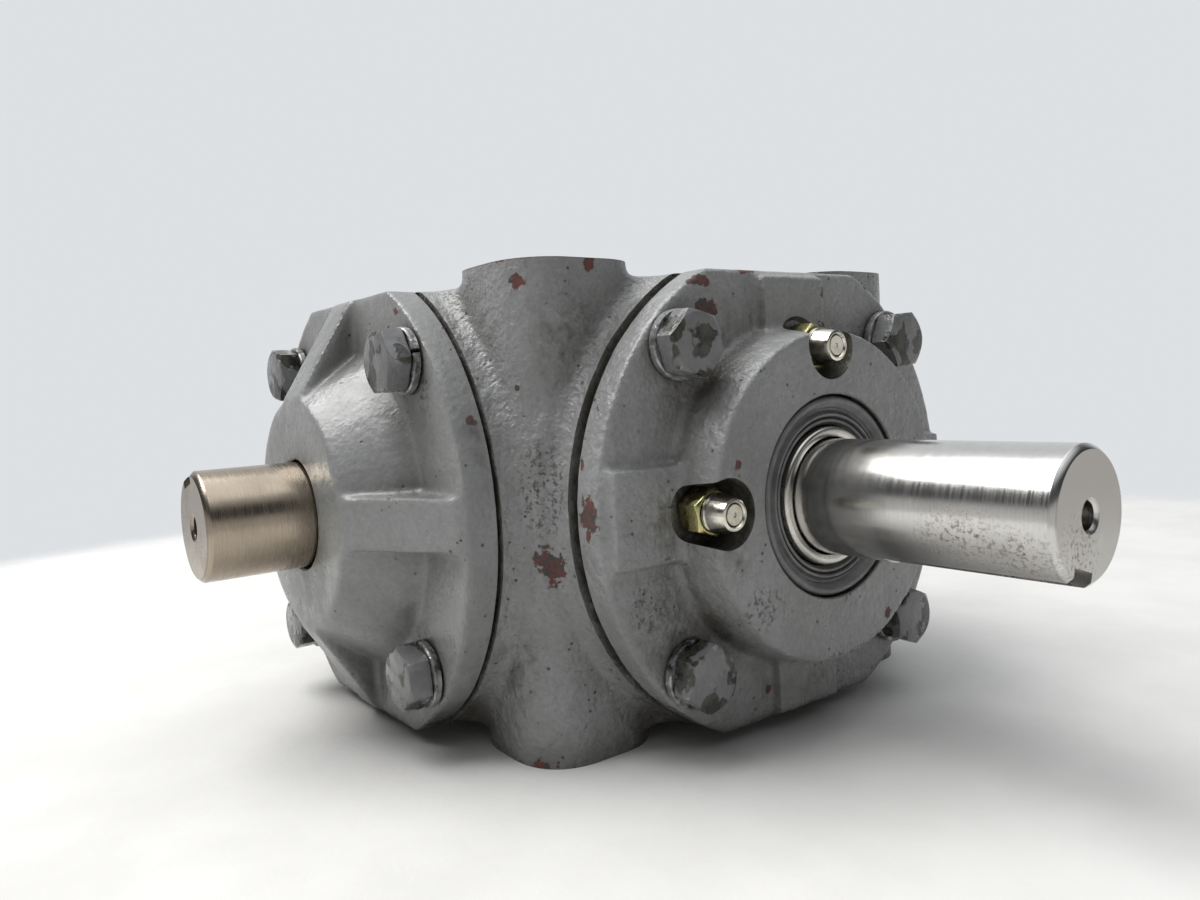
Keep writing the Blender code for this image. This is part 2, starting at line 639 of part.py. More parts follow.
def build_gear(name, axis, bore, hub_radius, back, phase, key_high):
    bm = bmesh.new()
    large = tooth_loop(phase)
    cone_distance = TEETH * MODULE / math.sqrt(2)
    shrink = (cone_distance - FACE_WIDTH) / cone_distance
    big = [bm.verts.new(point) for point in large]
    small = [bm.verts.new([value * shrink for value in point]) for point in large]
    web = GEAR_WEB_BACK
    bore_radius = bore / math.cos(math.pi / (2 * TEETH))
    front_face = circle(bm, GEAR_FRONT_RADIUS, GEAR_FRONT, phase)
    front_bore = circle(bm, bore_radius, GEAR_FRONT, phase)
    back_bore = circle(bm, bore_radius, back, phase)
    hub_back = circle(bm, hub_radius, back, phase)
    hub_foot = circle(bm, hub_radius, web, phase)
    join_loops(bm, big, small, False)
    join_loops(bm, small, front_face, False)
    join_loops(bm, front_face, front_bore, False)
    join_loops(bm, front_bore, back_bore, False)
    join_loops(bm, back_bore, hub_back, False)
    join_loops(bm, hub_back, hub_foot, False)
    join_loops(bm, hub_foot, big, False)
    bmesh.ops.recalc_face_normals(bm, faces=bm.faces)
    gear = add_object(name, mesh_from(bm, name), axis, parts, gear_steel)
    half = KEY_WIDTH / 2 + GAP
    cut_box(gear, axis, name + "_keyway", (0, -half, GEAR_FRONT - 0.002),
            (bore + KEYWAY_DEPTH, half, key_high))


# ---------------------------------------------------------------- bearings, seals, fittings

def build_bearing(prefix, axis, cone_back, outwards):
    """A tapered roller bearing. outwards is +1 where the cone's wide back faces the crossing."""
    def at(outline):
        placed = [(radius, cone_back + outwards * depth) for radius, depth in outline]
        return placed if outwards < 0 else list(reversed(placed))

    bore = SHAFT_RADIUS + GAP
    cone = [(bore, CONE_WIDTH), (bore, 0), (CONE_BACK_RADIUS, 0), (CONE_BACK_RADIUS, RACE_START),
            (RACE_WIDE, RACE_START), (RACE_NARROW, RACE_END), (CONE_FRONT_RADIUS, RACE_END),
            (CONE_FRONT_RADIUS, CONE_WIDTH)]
    turned(prefix + "_bearing_cone", at(cone), axis, parts, gear_steel, BEARING_STEPS)
    cup = [(CUP_INNER_NARROW, BEARING_WIDTH), (CUP_INNER_WIDE, CUP_START), (CUP_RADIUS, CUP_START),
           (CUP_RADIUS, BEARING_WIDTH)]
    turned(prefix + "_bearing_cup", at(cup), axis, parts, gear_steel, BEARING_STEPS)
    build_roller_cage(prefix + "_bearing_rollers", axis, cone_back, outwards)


def build_roller_cage(name, axis, cone_back, outwards):
    end = ROLLER_START + ROLLER_LENGTH
    wide = (RACE_WIDE + CUP_INNER_WIDE) / 2
    narrow = (RACE_NARROW + CUP_INNER_NARROW) / 2 + 0.0001
    half = CAGE_THICKNESS / 2
    shell = [(narrow - half, end - 0.0010), (wide - half, ROLLER_START + 0.0010),
             (wide + half, ROLLER_START + 0.0010), (narrow + half, end - 0.0010)]
    placed = [(radius, cone_back + outwards * depth) for radius, depth in shell]
    outline = placed if outwards < 0 else list(reversed(placed))
    cage = turned(name, outline, axis, parts, brass, 2 * ROLLER_COUNT)
    tilt = math.atan2(wide - narrow, ROLLER_LENGTH)
    for group in (0, 1):
        bm = bmesh.new()
        for index in range(group, ROLLER_COUNT, 2):
            middle = (wide + narrow) / 2
            height = cone_back + outwards * (ROLLER_START + ROLLER_LENGTH / 2)
            place = (Matrix.Rotation(2 * math.pi * index / ROLLER_COUNT, 4, "Z")
                     @ Matrix.Translation((middle, 0, height))
                     @ Matrix.Rotation(-outwards * tilt, 4, "Y"))
            radii = (ROLLER_RADIUS_WIDE, ROLLER_RADIUS_NARROW)[::int(outwards)]
            bmesh.ops.create_cone(bm, cap_ends=True, segments=6, radius1=radii[0],
                                  radius2=radii[1], depth=ROLLER_LENGTH, matrix=place)
        boolean(cage, tool_from(bm, "{}_set_{}".format(name, group), axis), "UNION")


def build_seals():
    back, face = OUTPUT_SEAL_BACK, OUTPUT_HUB_FACE - 0.0005
    inner = WIPER_RADIUS + GAP
    outline = [(OUTPUT_SEAL_RADIUS, face), (OUTPUT_SEAL_RADIUS, back), (inner, back),
               (inner, face - 0.0020), (0.0188, face - 0.0016), (0.0200, face)]
    turned("output_seal", outline, output_axis, parts, seal_grey)
    ring("output_wiper_ring", SHAFT_RADIUS + GAP, WIPER_RADIUS, back, face - 0.0008, output_axis,
         bright_steel, SHAFT_STEPS)
    ring("input_seal", SHAFT_RADIUS + GAP, INPUT_SEAL_RADIUS, INPUT_SEAL_BACK, INPUT_SEAL_FRONT,
         input_axis, seal_grey, SHAFT_STEPS)


def build_fitting(side, place):
    """A relief fitting, its hex on a threaded stem, and the round cap pushed over its end."""
    overlap = 0.001
    hex_low = FITTING_POCKET_FLOOR + GAP
    hex_high = hex_low + FITTING_HEX_HEIGHT
    roof = FITTING_TOP - CAP_ROOF
    bm = bmesh.new()
    add_cylinder(bm, FITTING_FLATS / math.sqrt(3), hex_low, hex_high, *place, steps=6)
    name = "relief_fitting_" + side
    body = add_object(name, mesh_from(bm, name), output_axis, parts, zinc)
    bm = bmesh.new()
    add_cylinder(bm, FITTING_THREAD_RADIUS, hex_low - FITTING_THREAD_LENGTH, hex_low + overlap, *place,
                 steps=12)
    boolean(body, tool_from(bm, name + "_thread", output_axis), "UNION")
    bm = bmesh.new()
    add_cylinder(bm, FITTING_STEM_RADIUS, hex_high - overlap, roof - GAP, *place, steps=12)
    boolean(body, tool_from(bm, name + "_stem", output_axis), "UNION")
    low = hex_high + GAP
    inside = FITTING_STEM_RADIUS + GAP
    outline = [(0, FITTING_TOP), (CAP_FACE_RADIUS, FITTING_TOP), (CAP_RADIUS, low + 0.0012),
               (CAP_RADIUS, low), (inside, low), (inside, roof), (0, roof)]
    cap = turned("relief_cap_" + side, outline, output_axis, parts, bright_steel, 16)
    cap.location = (*place, 0)


# ---------------------------------------------------------------- assembly

clear_scene()
parts = collection("right_angle_bevel_gearbox")
cutters = collection("cutters")

paint = material("grey machinery enamel", (0.21, 0.22, 0.23), 0.38, 0.0)
bolt_paint = material("painted steel hardware", (0.13, 0.14, 0.15), 0.35, 0.4)
bright_steel = material("polished shaft steel", (0.62, 0.61, 0.60), 0.22, 1.0)
ground_steel = material("ground shaft steel", (0.50, 0.45, 0.40), 0.34, 1.0)
gear_steel = material("hardened steel", (0.45, 0.46, 0.48), 0.30, 1.0)
dark_steel = material("dark spring steel", (0.16, 0.16, 0.17), 0.45, 0.9)
brass = material("bearing cage and rollers", (0.55, 0.52, 0.45), 0.35, 1.0)
seal_grey = material("painted seal face", (0.17, 0.18, 0.19), 0.42, 0.0)
gasket_grey = material("shim and gasket", (0.08, 0.08, 0.08), 0.60, 0.2)
zinc = material("yellow zinc plate", (0.58, 0.52, 0.30), 0.30, 1.0)

crossing = empty("axes_crossing", None, (0, 0, HALF_HEIGHT))
output_axis = empty("output_axis", crossing, rotation=(0, math.pi / 2, 0))
input_axis = empty("input_axis", crossing, rotation=(0, math.pi / 2, -math.pi / 2))
rear_axis = empty("rear_axis", crossing, rotation=(0, math.pi / 2, math.pi))
blind_axis = empty("blind_axis", crossing, rotation=(0, math.pi / 2, math.pi / 2))
bpy.context.view_layer.update()

# On every axis local -X points up. On the output axis local -Y points towards the input side.
FITTING_PLACES = {"top": (-FITTING_OFFSET, 0.0), "side": (0.0, -FITTING_OFFSET)}

build_housing()
build_output_cover()
build_input_cover()
build_rear_cap()
build_gasket("output_shims", output_axis, OUTPUT_FLANGE_BACK)
build_gasket("input_gasket", input_axis, PLAIN_FLANGE_BACK)
build_gasket("rear_gasket", rear_axis, PLAIN_FLANGE_BACK)
build_screws("output", output_axis, OUTPUT_FLANGE_BACK)
build_screws("input", input_axis, PLAIN_FLANGE_BACK)
build_screws("rear", rear_axis, PLAIN_FLANGE_BACK)

build_output_shaft()
build_input_shaft()
build_key("output_gear_key", output_axis, GEAR_SEAT_RADIUS, GEAR_KEY_END)
build_key("pinion_key", input_axis, SHAFT_RADIUS, PINION_KEY_END)
ring("output_gear_spacer", GEAR_SEAT_RADIUS + GAP, 0.0185, OUTPUT_GEAR_BACK + GAP,
     OUTPUT_CONE_BACK - GAP, output_axis, dark_steel, BEARING_STEPS)
build_split_ring("pinion_retaining_ring", input_axis, SHAFT_RADIUS - 0.0009 + GAP, 0.0158,
                 GEAR_FRONT - RING_THICKNESS - GAP, GEAR_FRONT - GAP, 0.0060)
build_split_ring("input_shaft_lock_ring", input_axis, SHAFT_RADIUS - 0.0009 + GAP, 0.0158,
                 INPUT_OUTER_CONE_BACK + BEARING_WIDTH, INPUT_OUTER_CONE_BACK + BEARING_WIDTH
                 + RING_THICKNESS, 0.0060)
build_split_ring("input_bearing_snap_ring", input_axis, 0.0236, CUP_RADIUS + 0.0015,
                 INPUT_INNER_CONE_BACK - BEARING_WIDTH - GAP - RING_THICKNESS,
                 INPUT_INNER_CONE_BACK - BEARING_WIDTH - GAP, 0.0080)

# The output gear has a tooth where the gears meet, and the pinion has a space there.
build_gear("output_gear", output_axis, GEAR_SEAT_RADIUS + GAP, OUTPUT_GEAR_HUB, OUTPUT_GEAR_BACK,
           -math.pi / 2, OUTPUT_GEAR_BACK + 0.002)
build_gear("input_pinion", input_axis, SHAFT_RADIUS + GAP, PINION_HUB, PINION_BACK,
           math.pi / 2 + math.pi / TEETH, PINION_BACK + 0.002)

build_bearing("output_front", output_axis, OUTPUT_CONE_BACK, 1)
build_bearing("output_rear", rear_axis, REAR_CONE_BACK, 1)
build_bearing("input_outer", input_axis, INPUT_OUTER_CONE_BACK, 1)
build_bearing("input_inner", input_axis, INPUT_INNER_CONE_BACK, -1)
build_seals()
for side, place in FITTING_PLACES.items():
    build_fitting(side, place)
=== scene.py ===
import math

import bmesh
import bpy
from mathutils import Euler, Matrix, Vector, noise


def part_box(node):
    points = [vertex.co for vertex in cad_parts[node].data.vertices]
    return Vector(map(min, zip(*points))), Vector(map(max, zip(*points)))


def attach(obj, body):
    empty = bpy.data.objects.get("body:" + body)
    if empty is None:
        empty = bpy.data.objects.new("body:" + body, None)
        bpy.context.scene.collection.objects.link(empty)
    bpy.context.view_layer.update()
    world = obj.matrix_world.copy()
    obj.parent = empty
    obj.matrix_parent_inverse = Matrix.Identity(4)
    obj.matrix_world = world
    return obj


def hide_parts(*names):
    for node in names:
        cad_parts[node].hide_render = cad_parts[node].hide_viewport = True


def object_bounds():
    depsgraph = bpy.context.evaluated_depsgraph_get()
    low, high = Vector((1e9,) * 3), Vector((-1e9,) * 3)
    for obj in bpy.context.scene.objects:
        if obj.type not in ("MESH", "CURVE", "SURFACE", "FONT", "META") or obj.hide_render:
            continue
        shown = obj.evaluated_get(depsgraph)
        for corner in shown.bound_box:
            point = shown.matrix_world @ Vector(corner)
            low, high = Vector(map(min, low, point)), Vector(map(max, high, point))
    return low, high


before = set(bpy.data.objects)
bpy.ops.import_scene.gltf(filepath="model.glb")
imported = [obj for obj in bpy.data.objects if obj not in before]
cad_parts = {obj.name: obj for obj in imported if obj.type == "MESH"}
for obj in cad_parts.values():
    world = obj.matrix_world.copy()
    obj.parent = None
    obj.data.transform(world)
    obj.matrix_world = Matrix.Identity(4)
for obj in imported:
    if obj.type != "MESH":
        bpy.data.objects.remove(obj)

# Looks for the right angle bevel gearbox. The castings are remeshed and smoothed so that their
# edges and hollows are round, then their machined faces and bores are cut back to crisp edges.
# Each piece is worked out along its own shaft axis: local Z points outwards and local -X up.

cad_low, cad_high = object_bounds()

# ---------------------------------------------------------------- sizes, from the frame

GAP = 0.0003
shaft_low, shaft_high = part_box("output_shaft")
CROSSING = Vector((0, 0, (shaft_low.z + shaft_high.z) / 2))
HALF_HEIGHT = CROSSING.z
POST_HALF_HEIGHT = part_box("housing")[1].z - CROSSING.z
SEAT_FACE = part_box("housing")[1].x
OUTPUT_SHAFT_END = shaft_high.x
SHAFT_REAR_END = -shaft_low.x
INPUT_SHAFT_END = -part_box("input_shaft")[0].y
OUTPUT_FLANGE_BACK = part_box("output_shims")[1].x + GAP
PLAIN_FLANGE_BACK = -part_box("input_gasket")[0].y + GAP
OUTPUT_HUB_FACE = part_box("output_cover")[1].x
INPUT_HUB_FACE = -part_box("input_cover")[0].y
REAR_HUB_FACE = -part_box("rear_cap")[0].x
FLANGE_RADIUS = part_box("output_cover")[1].y
SHAFT_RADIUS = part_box("input_shaft")[1].x
SEAL_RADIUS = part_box("output_seal")[1].y
SEAL_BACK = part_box("output_seal")[0].x
WIPER_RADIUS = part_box("output_wiper_ring")[1].y
CUP_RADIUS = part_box("output_front_bearing_cup")[1].y
FITTING_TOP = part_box("relief_cap_top")[1].x

FLANGE_THICKNESS = 0.0070
PILOT_RADIUS = 0.0417
PILOT_START = 0.0600
BORE_RADIUS = 0.0420
BLIND_WALL_INSIDE = 0.0560
SEAT_RADIUS = 0.0570
SEAT_FLARE = 0.0045
BLOCK_HALF = 0.0580
POST_CENTRE = 0.0455
POST_HALF = 0.0165
POST_CORNER = 0.0115
MOUNT_HOLE_RADIUS = 0.0040
MOUNT_HOLE_DEPTH = 0.0160
OUTPUT_HUB_RADIUS = 0.0365
OUTPUT_HUB_FOOT = 0.0385
OUTPUT_RIB_HALF = 0.0100
OUTPUT_RIB_RISE = 0.0028
INPUT_HUB_RADIUS = 0.0272
INPUT_HUB_FOOT = 0.0380
INPUT_HOLE_RADIUS = 0.0132
INPUT_SLEEVE_START = 0.0420
INPUT_SLEEVE_RADIUS = 0.0310
REAR_HUB_RADIUS = 0.0300
REAR_HUB_FOOT = 0.0370
PLAIN_RIB_HALF = 0.00575
RIB_REACH_SIDE = 0.0548
RIB_REACH_FLAT = 0.0502
BOLT_OFFSET = 0.0345
BOLT_RADIUS = 5 / 32 * 0.0254
BOLT_HOLE_RADIUS = BOLT_RADIUS + GAP
BOLT_HEAD_FLATS = 0.0127
BOLT_HEAD_HEIGHT = 0.0052
BOLT_IN_HOUSING = 0.0150
WASHER_RADIUS = 0.0074
WASHER_THICKNESS = 0.0018
FITTING_OFFSET = 0.0330
FITTING_POCKET_RADIUS = 0.0073
FITTING_POCKET_FLOOR = 0.0780
FITTING_HEX_HEIGHT = 0.0062
FITTING_FLATS = 0.009525
FITTING_THREAD_RADIUS = 0.003175
FITTING_THREAD_LENGTH = 0.0100
FITTING_STEM_RADIUS = 0.0024
CAP_RADIUS = 0.0042
CAP_ROOF = 0.0015
GASKET_RADIUS = 0.0535
SHAFT_CLEARANCE_RADIUS = 0.0195
REAR_HOLLOW_END = 0.0790
SEAL_LEAD_IN = 0.0023
INPUT_HOLE_LEAD_IN = 0.0024
GROOVE_DEPTH = 0.0015
BEARING_SEAT_RADIUS = 0.0150
SHOULDER_RADIUS = 0.0165
SHAFT_CHAMFER = 0.0009
RING_GROOVE_DEPTH = 0.0009
KEY_WIDTH = 0.00635
KEYWAY_DEPTH = 0.003175
OUTPUT_KEYWAY_LENGTH = 0.0381
INPUT_KEYWAY_LENGTH = 0.01905
OUTPUT_KEYWAY_ANGLE = math.radians(-17)
INPUT_KEYWAY_ANGLE = math.radians(195)

AXES = {
    "output": Euler((0, math.pi / 2, 0)),
    "input": Euler((0, math.pi / 2, -math.pi / 2)),
    "rear": Euler((0, math.pi / 2, math.pi)),
    "blind": Euler((0, math.pi / 2, math.pi / 2)),
}
FITTING_PLACES = {"top": (-FITTING_OFFSET, 0.0), "side": (0.0, -FITTING_OFFSET)}
BOLT_PLACES = [(x, y) for x in (-BOLT_OFFSET, BOLT_OFFSET) for y in (-BOLT_OFFSET, BOLT_OFFSET)]
FINE = 128
ROUND = 96

ROUGH_HALF_HEIGHT = 0.056
STOCK = 0.002
BITE = 0.001
FAR = 0.09


# FINE and ROUND are steps round a full turn. STOCK is what a rough casting carries past a face
# that is cut later, BITE how far a join or a cut runs past its face, and FAR is beyond every piece.


def along(axis):
    """The matrix that takes a shaft axis's own space to the row frame."""
    return Matrix.Translation(CROSSING) @ AXES[axis].to_matrix().to_4x4()


# ---------------------------------------------------------------- mesh helpers

def lathe(bm, outline, steps=FINE, x=0.0, y=0.0):
    """Turns a (radius, height) outline round Z. It closes into a ring unless it ends on the axis."""
    rows = []
    for radius, height in outline:
        if radius < 1e-7:
            rows.append([bm.verts.new((x, y, height))])
            continue
        turn = [2 * math.pi * step / steps for step in range(steps)]
        rows.append([bm.verts.new((x + radius * math.cos(a), y + radius * math.sin(a), height))
                     for a in turn])
    pairs = list(zip(rows, rows[1:]))
    if len(rows[0]) > 1:
        pairs.append((rows[-1], rows[0]))
    for first, second in pairs:
        for step in range(steps):
            after = (step + 1) % steps
            corners = [first[step % len(first)], first[after % len(first)],
                       second[after % len(second)], second[step % len(second)]]
            unique = list(dict.fromkeys(corners))
            if len(unique) > 2:
                bm.faces.new(unique)


def cylinder(bm, radius, low, high, x=0.0, y=0.0, steps=48):
    lathe(bm, [(0, high), (radius, high), (radius, low), (0, low)], steps, x, y)


def box(bm, low, high, turn=0.0):
    size = [b - a for a, b in zip(low, high)]
    middle = [(a + b) / 2 for a, b in zip(low, high)]
    place = Matrix.Rotation(turn, 4, "Z") @ Matrix.Translation(middle) @ Matrix.Diagonal((*size, 1))
    bmesh.ops.create_cube(bm, size=1.0, matrix=place)


def prism(bm, outline, half_width, across_y):
    """Extrudes an outline of (distance, height) points by half_width to both sides."""
    layers = []
    for side in (-half_width, half_width):
        layers.append([bm.verts.new((d, side, h) if across_y else (-side, d, h)) for d, h in outline])
    bm.faces.new(layers[0])
    bm.faces.new(list(reversed(layers[1])))
    for index in range(len(outline)):
        after = (index + 1) % len(outline)
        bm.faces.new((layers[0][after], layers[0][index], layers[1][index], layers[1][after]))


def made(name, bm, matrix=None):
    """An object from a bmesh, with its place in its vertices."""
    bmesh.ops.recalc_face_normals(bm, faces=bm.faces)
    if matrix is not None:
        bm.transform(matrix)
    mesh = bpy.data.meshes.new(name)
    bm.to_mesh(mesh)
    bm.free()
    obj = bpy.data.objects.new(name, mesh)
    bpy.context.scene.collection.objects.link(obj)
    return obj


def applied(obj):
    """Turns the object's modifiers into its mesh."""
    graph = bpy.context.evaluated_depsgraph_get()
    mesh = bpy.data.meshes.new_from_object(obj.evaluated_get(graph))
    obj.modifiers.clear()
    obj.data = mesh
    return obj


def boolean(obj, tool, operation):
    step = obj.modifiers.new("Boolean", "BOOLEAN")
    step.operation = operation
    step.object = tool
    step.solver = "MANIFOLD"
    applied(obj)
    bpy.data.objects.remove(tool)
    return obj


def cut(obj, shape, *arguments, matrix=None, **options):
    """Cuts one shape, made by a mesh helper, out of the object."""
    bm = bmesh.new()
    shape(bm, *arguments, **options)
    return boolean(obj, made("tool", bm, matrix), "DIFFERENCE")


def join(obj, shape, *arguments, matrix=None, **options):
    bm = bmesh.new()
    shape(bm, *arguments, **options)
    return boolean(obj, made("tool", bm, matrix), "UNION")


def mill(obj, low, high, matrix):
    """Cuts away everything between two heights."""
    cut(obj, box, (-FAR, -FAR, low), (FAR, FAR, high), matrix=matrix)


def mill_both_ends(obj, height, matrix):
    mill(obj, height, FAR, matrix)
    mill(obj, -FAR, -height, matrix)


def cast_skin(obj, voxel, smoothing, waviness):
    """Gives a rough shape the round edges, hollows and slightly uneven skin of a sand casting."""
    remesh = obj.modifiers.new("Remesh", "REMESH")
    remesh.mode = "VOXEL"
    remesh.voxel_size = voxel
    smooth = obj.modifiers.new("Smooth", "SMOOTH")
    smooth.factor = 0.5
    smooth.iterations = smoothing
    applied(obj)
    normals = [vertex.normal.copy() for vertex in obj.data.vertices]
    for vertex, normal in zip(obj.data.vertices, normals):
        swell = noise.noise(vertex.co / 0.009) + 0.5 * noise.noise(vertex.co / 0.0035)
        vertex.co += normal * (waviness * swell)
    return obj


def finished(obj, body, slot, material, *nodes, sharp=35):
    """Shades a piece, hooks it to its body and hides the nodes that it stands for. slot is not used."""
    obj.data.shade_smooth()
    obj.data.set_sharp_from_angle(angle=math.radians(sharp))
    obj.data.materials.clear()
    obj.data.materials.append(material)
    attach(obj, body)
    if nodes:
        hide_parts(*nodes)
    return obj


# ---------------------------------------------------------------- shader helpers

class Shader:
    """Short ways to add and link the nodes of one material."""

    def __init__(self, name, roughness=0.5, metallic=0.0, **sockets):
        self.material = bpy.data.materials.new(name)
        self.material.use_nodes = True
        self.tree = self.material.node_tree
        self.shader = self.tree.nodes["Principled BSDF"]
        self.shader.inputs["Roughness"].default_value = roughness
        self.shader.inputs["Metallic"].default_value = metallic
        for socket, value in sockets.items():
            self.shader.inputs[socket.replace("_", " ")].default_value = value
        self.place = self.node("ShaderNodeTexCoord").outputs["Object"]

    def node(self, kind, **settings):
        added = self.tree.nodes.new(kind)
        for name, value in settings.items():
            setattr(added, name, value)
        return added

    def feed(self, socket, value):
        if isinstance(value, bpy.types.NodeSocket):
            self.tree.links.new(value, socket)
        elif isinstance(value, tuple) and len(value) == 3 and socket.type == "RGBA":
            socket.default_value = (*value, 1.0)
        else:
            socket.default_value = value

    def set(self, socket, value):
        self.feed(self.shader.inputs[socket], value)

    def math(self, operation, first, second=0.0, clamp=False):
        node = self.node("ShaderNodeMath", operation=operation, use_clamp=clamp)
        self.feed(node.inputs[0], first)
        self.feed(node.inputs[1], second)
        return node.outputs[0]

    def ramp(self, value, low, high, start=0.0, end=1.0):
        node = self.node("ShaderNodeMapRange", interpolation_type="SMOOTHSTEP")
        for socket, given in zip(node.inputs, (value, low, high, start, end)):
            self.feed(socket, given)
        return node.outputs[0]

    def mix(self, factor, first, second, blend="MIX"):
        node = self.node("ShaderNodeMix", data_type="RGBA", blend_type=blend)
        self.feed(node.inputs[0], factor)
        self.feed(node.inputs[6], first)
        self.feed(node.inputs[7], second)
        return node.outputs[2]

    def scaled(self, stretch, shift=(0.0, 0.0, 0.0)):
        node = self.node("ShaderNodeMapping")
        self.feed(node.inputs["Vector"], self.place)
        node.inputs["Scale"].default_value = stretch
        node.inputs["Location"].default_value = shift
        return node.outputs[0]

    def noise(self, size, detail=2.0, roughness=0.5, vector=None):
        """Fractal noise whose features are about as large as size, in metres."""
        node = self.node("ShaderNodeTexNoise")
        self.feed(node.inputs["Vector"], vector or self.place)
        node.inputs["Scale"].default_value = 1.0 / size
        node.inputs["Detail"].default_value = detail
        node.inputs["Roughness"].default_value = roughness
        return node.outputs["Fac"]

    def cells(self, size, vector=None):
        """Distance to the nearest of some scattered points, in cells."""
        node = self.node("ShaderNodeTexVoronoi")
        self.feed(node.inputs["Vector"], vector or self.place)
        node.inputs["Scale"].default_value = 1.0 / size
        return node.outputs["Distance"]

    def near(self, spots):
        """1 in the middle of each spot, falling to 0 at its radii. Spots are in millimetres."""
        total = None
        for centre, radii in spots:
            node = self.node("ShaderNodeMapping")
            self.feed(node.inputs["Vector"], self.place)
            scale = [1000.0 / radius for radius in radii]
            node.inputs["Scale"].default_value = scale
            node.inputs["Location"].default_value = [-c / r for c, r in zip(centre, radii)]
            length = self.node("ShaderNodeVectorMath", operation="LENGTH")
            self.feed(length.inputs[0], node.outputs[0])
            inside = self.math("SUBTRACT", 1.0, length.outputs["Value"], clamp=True)
            total = inside if total is None else self.math("MAXIMUM", total, inside)
        return total

    def ragged(self, spots, size, spread=1.5, edge=0.5):
        """The torn shape of a chip or stain around each spot."""
        torn = self.math("MULTIPLY", self.math("SUBTRACT", self.noise(size, 6.0, 0.65), 0.5), spread)
        return self.ramp(self.math("ADD", self.near(spots), torn), edge, edge + 0.07)

    def hollows(self, reach, low, high):
        """1 in corners and recesses that others shade, 0 on open faces."""
        node = self.node("ShaderNodeAmbientOcclusion", samples=6)
        node.inputs["Distance"].default_value = reach
        return self.ramp(node.outputs["AO"], low, high, 1.0, 0.0)

    def bump(self, *layers):
        """Stacks (height value, depth in metres) layers into the normal."""
        normal = None
        for height, depth in layers:
            node = self.node("ShaderNodeBump")
            node.inputs["Strength"].default_value = 1.0
            node.inputs["Distance"].default_value = depth
            self.feed(node.inputs["Height"], height)
            if normal is not None:
                self.feed(node.inputs["Normal"], normal)
            normal = node.outputs["Normal"]
        self.set("Normal", normal)


# ---------------------------------------------------------------- materials

PRIMER_RED = (0.135, 0.030, 0.022)
BARE_IRON = (0.045, 0.040, 0.036)
# This dark oil colour is used both for the oil smears and for painted shade in the hollows.
OIL_FILM_AND_SHADE = (0.042, 0.036, 0.024)
SOOT = (0.012, 0.011, 0.010)


def enamel(name, grain, chips, smears, pits):
    """Grey machinery enamel over cast iron: pitted, chipped to red primer, with oil smears, and painted
    shade tinted like an oil film in the hollows.
    """
    s = Shader(name, 0.34)
    cast = s.noise(0.0011, 3.0, 0.55)
    orange_peel = s.noise(0.0034, 2.0, 0.5)
    patchy = s.noise(0.022, 3.0, 0.6)
    grey = s.mix(s.ramp(patchy, 0.3, 0.7), (0.214, 0.218, 0.216), (0.272, 0.277, 0.278))
    grey = s.mix(s.ramp(cast, 0.35, 0.65, 0.0, 0.35), grey, (0.165, 0.167, 0.162))

    specks = s.math("MULTIPLY", s.ramp(s.cells(0.0026), 0.10, 0.16, 1.0, 0.0),
                    s.ramp(s.noise(0.009, 2.0), 0.50, 0.62))
    grey = s.mix(s.math("MULTIPLY", specks, 0.85), grey, SOOT)

    # Painted shade: corners and recesses that other parts shade turn to a dark oil-brown film.
    hollow_shade = s.hollows(0.014, 0.34, 0.92)
    shade_and_oil_film = s.math("MULTIPLY", hollow_shade, s.ramp(s.noise(0.006, 4.0, 0.6), 0.22, 0.62, 0.50, 1.0))
    grey = s.mix(s.math("MULTIPLY", shade_and_oil_film, 0.95), grey, OIL_FILM_AND_SHADE)

    streaky = s.ramp(s.noise(0.0040, 6.0, 0.68), 0.40, 0.66)
    smear = s.math("MULTIPLY", streaky, s.ramp(s.near(smears), 0.0, 0.8))
    grey = s.mix(s.math("MULTIPLY", smear, 0.62), grey, OIL_FILM_AND_SHADE)
    pitted = s.ramp(s.noise(0.0012, 5.0, 0.7), 0.50, 0.60)
    pit = s.math("MULTIPLY", pitted, s.ramp(s.near(pits), 0.0, 0.5))
    grey = s.mix(s.math("MULTIPLY", pit, 0.85), grey, BARE_IRON)
    chip = s.ragged(chips, 0.0022, 1.7, 0.50)
    red = s.mix(s.ramp(s.noise(0.0014, 4.0, 0.7), 0.40, 0.58), PRIMER_RED, BARE_IRON)
    colour = s.mix(s.math("MULTIPLY", chip, 0.95), grey, red)
    height = s.node("ShaderNodeSeparateXYZ")
    s.feed(height.inputs[0], s.place)
    above = s.math("ABSOLUTE", s.math("SUBTRACT", height.outputs["Z"], CROSSING.z))
    milled = s.ramp(above, POST_HALF_HEIGHT - 0.0002, POST_HALF_HEIGHT - 0.0001)
    milled = s.math("MULTIPLY", milled, s.ramp(s.noise(0.0080, 5.0, 0.65), 0.36, 0.44))
    bare = s.mix(s.noise(0.0030, 4.0, 0.6), (0.085, 0.078, 0.070), (0.21, 0.20, 0.19))
    colour = s.mix(milled, colour, bare)
    s.set("Base Color", colour)
    s.set("Metallic", s.math("MULTIPLY", milled, 0.7))

    gloss = s.ramp(s.noise(0.0050, 3.0), 0.3, 0.7, 0.25, 0.40)
    rough = s.math("MAXIMUM", gloss, s.math("MULTIPLY", chip, 0.75))
    s.set("Roughness", rough)
    s.bump((orange_peel, 0.00060 * grain), (cast, 0.00028 * grain),
           (s.math("SUBTRACT", 1.0, chip), 0.00012), (s.math("SUBTRACT", 1.0, specks), 0.00015))
    return s.material


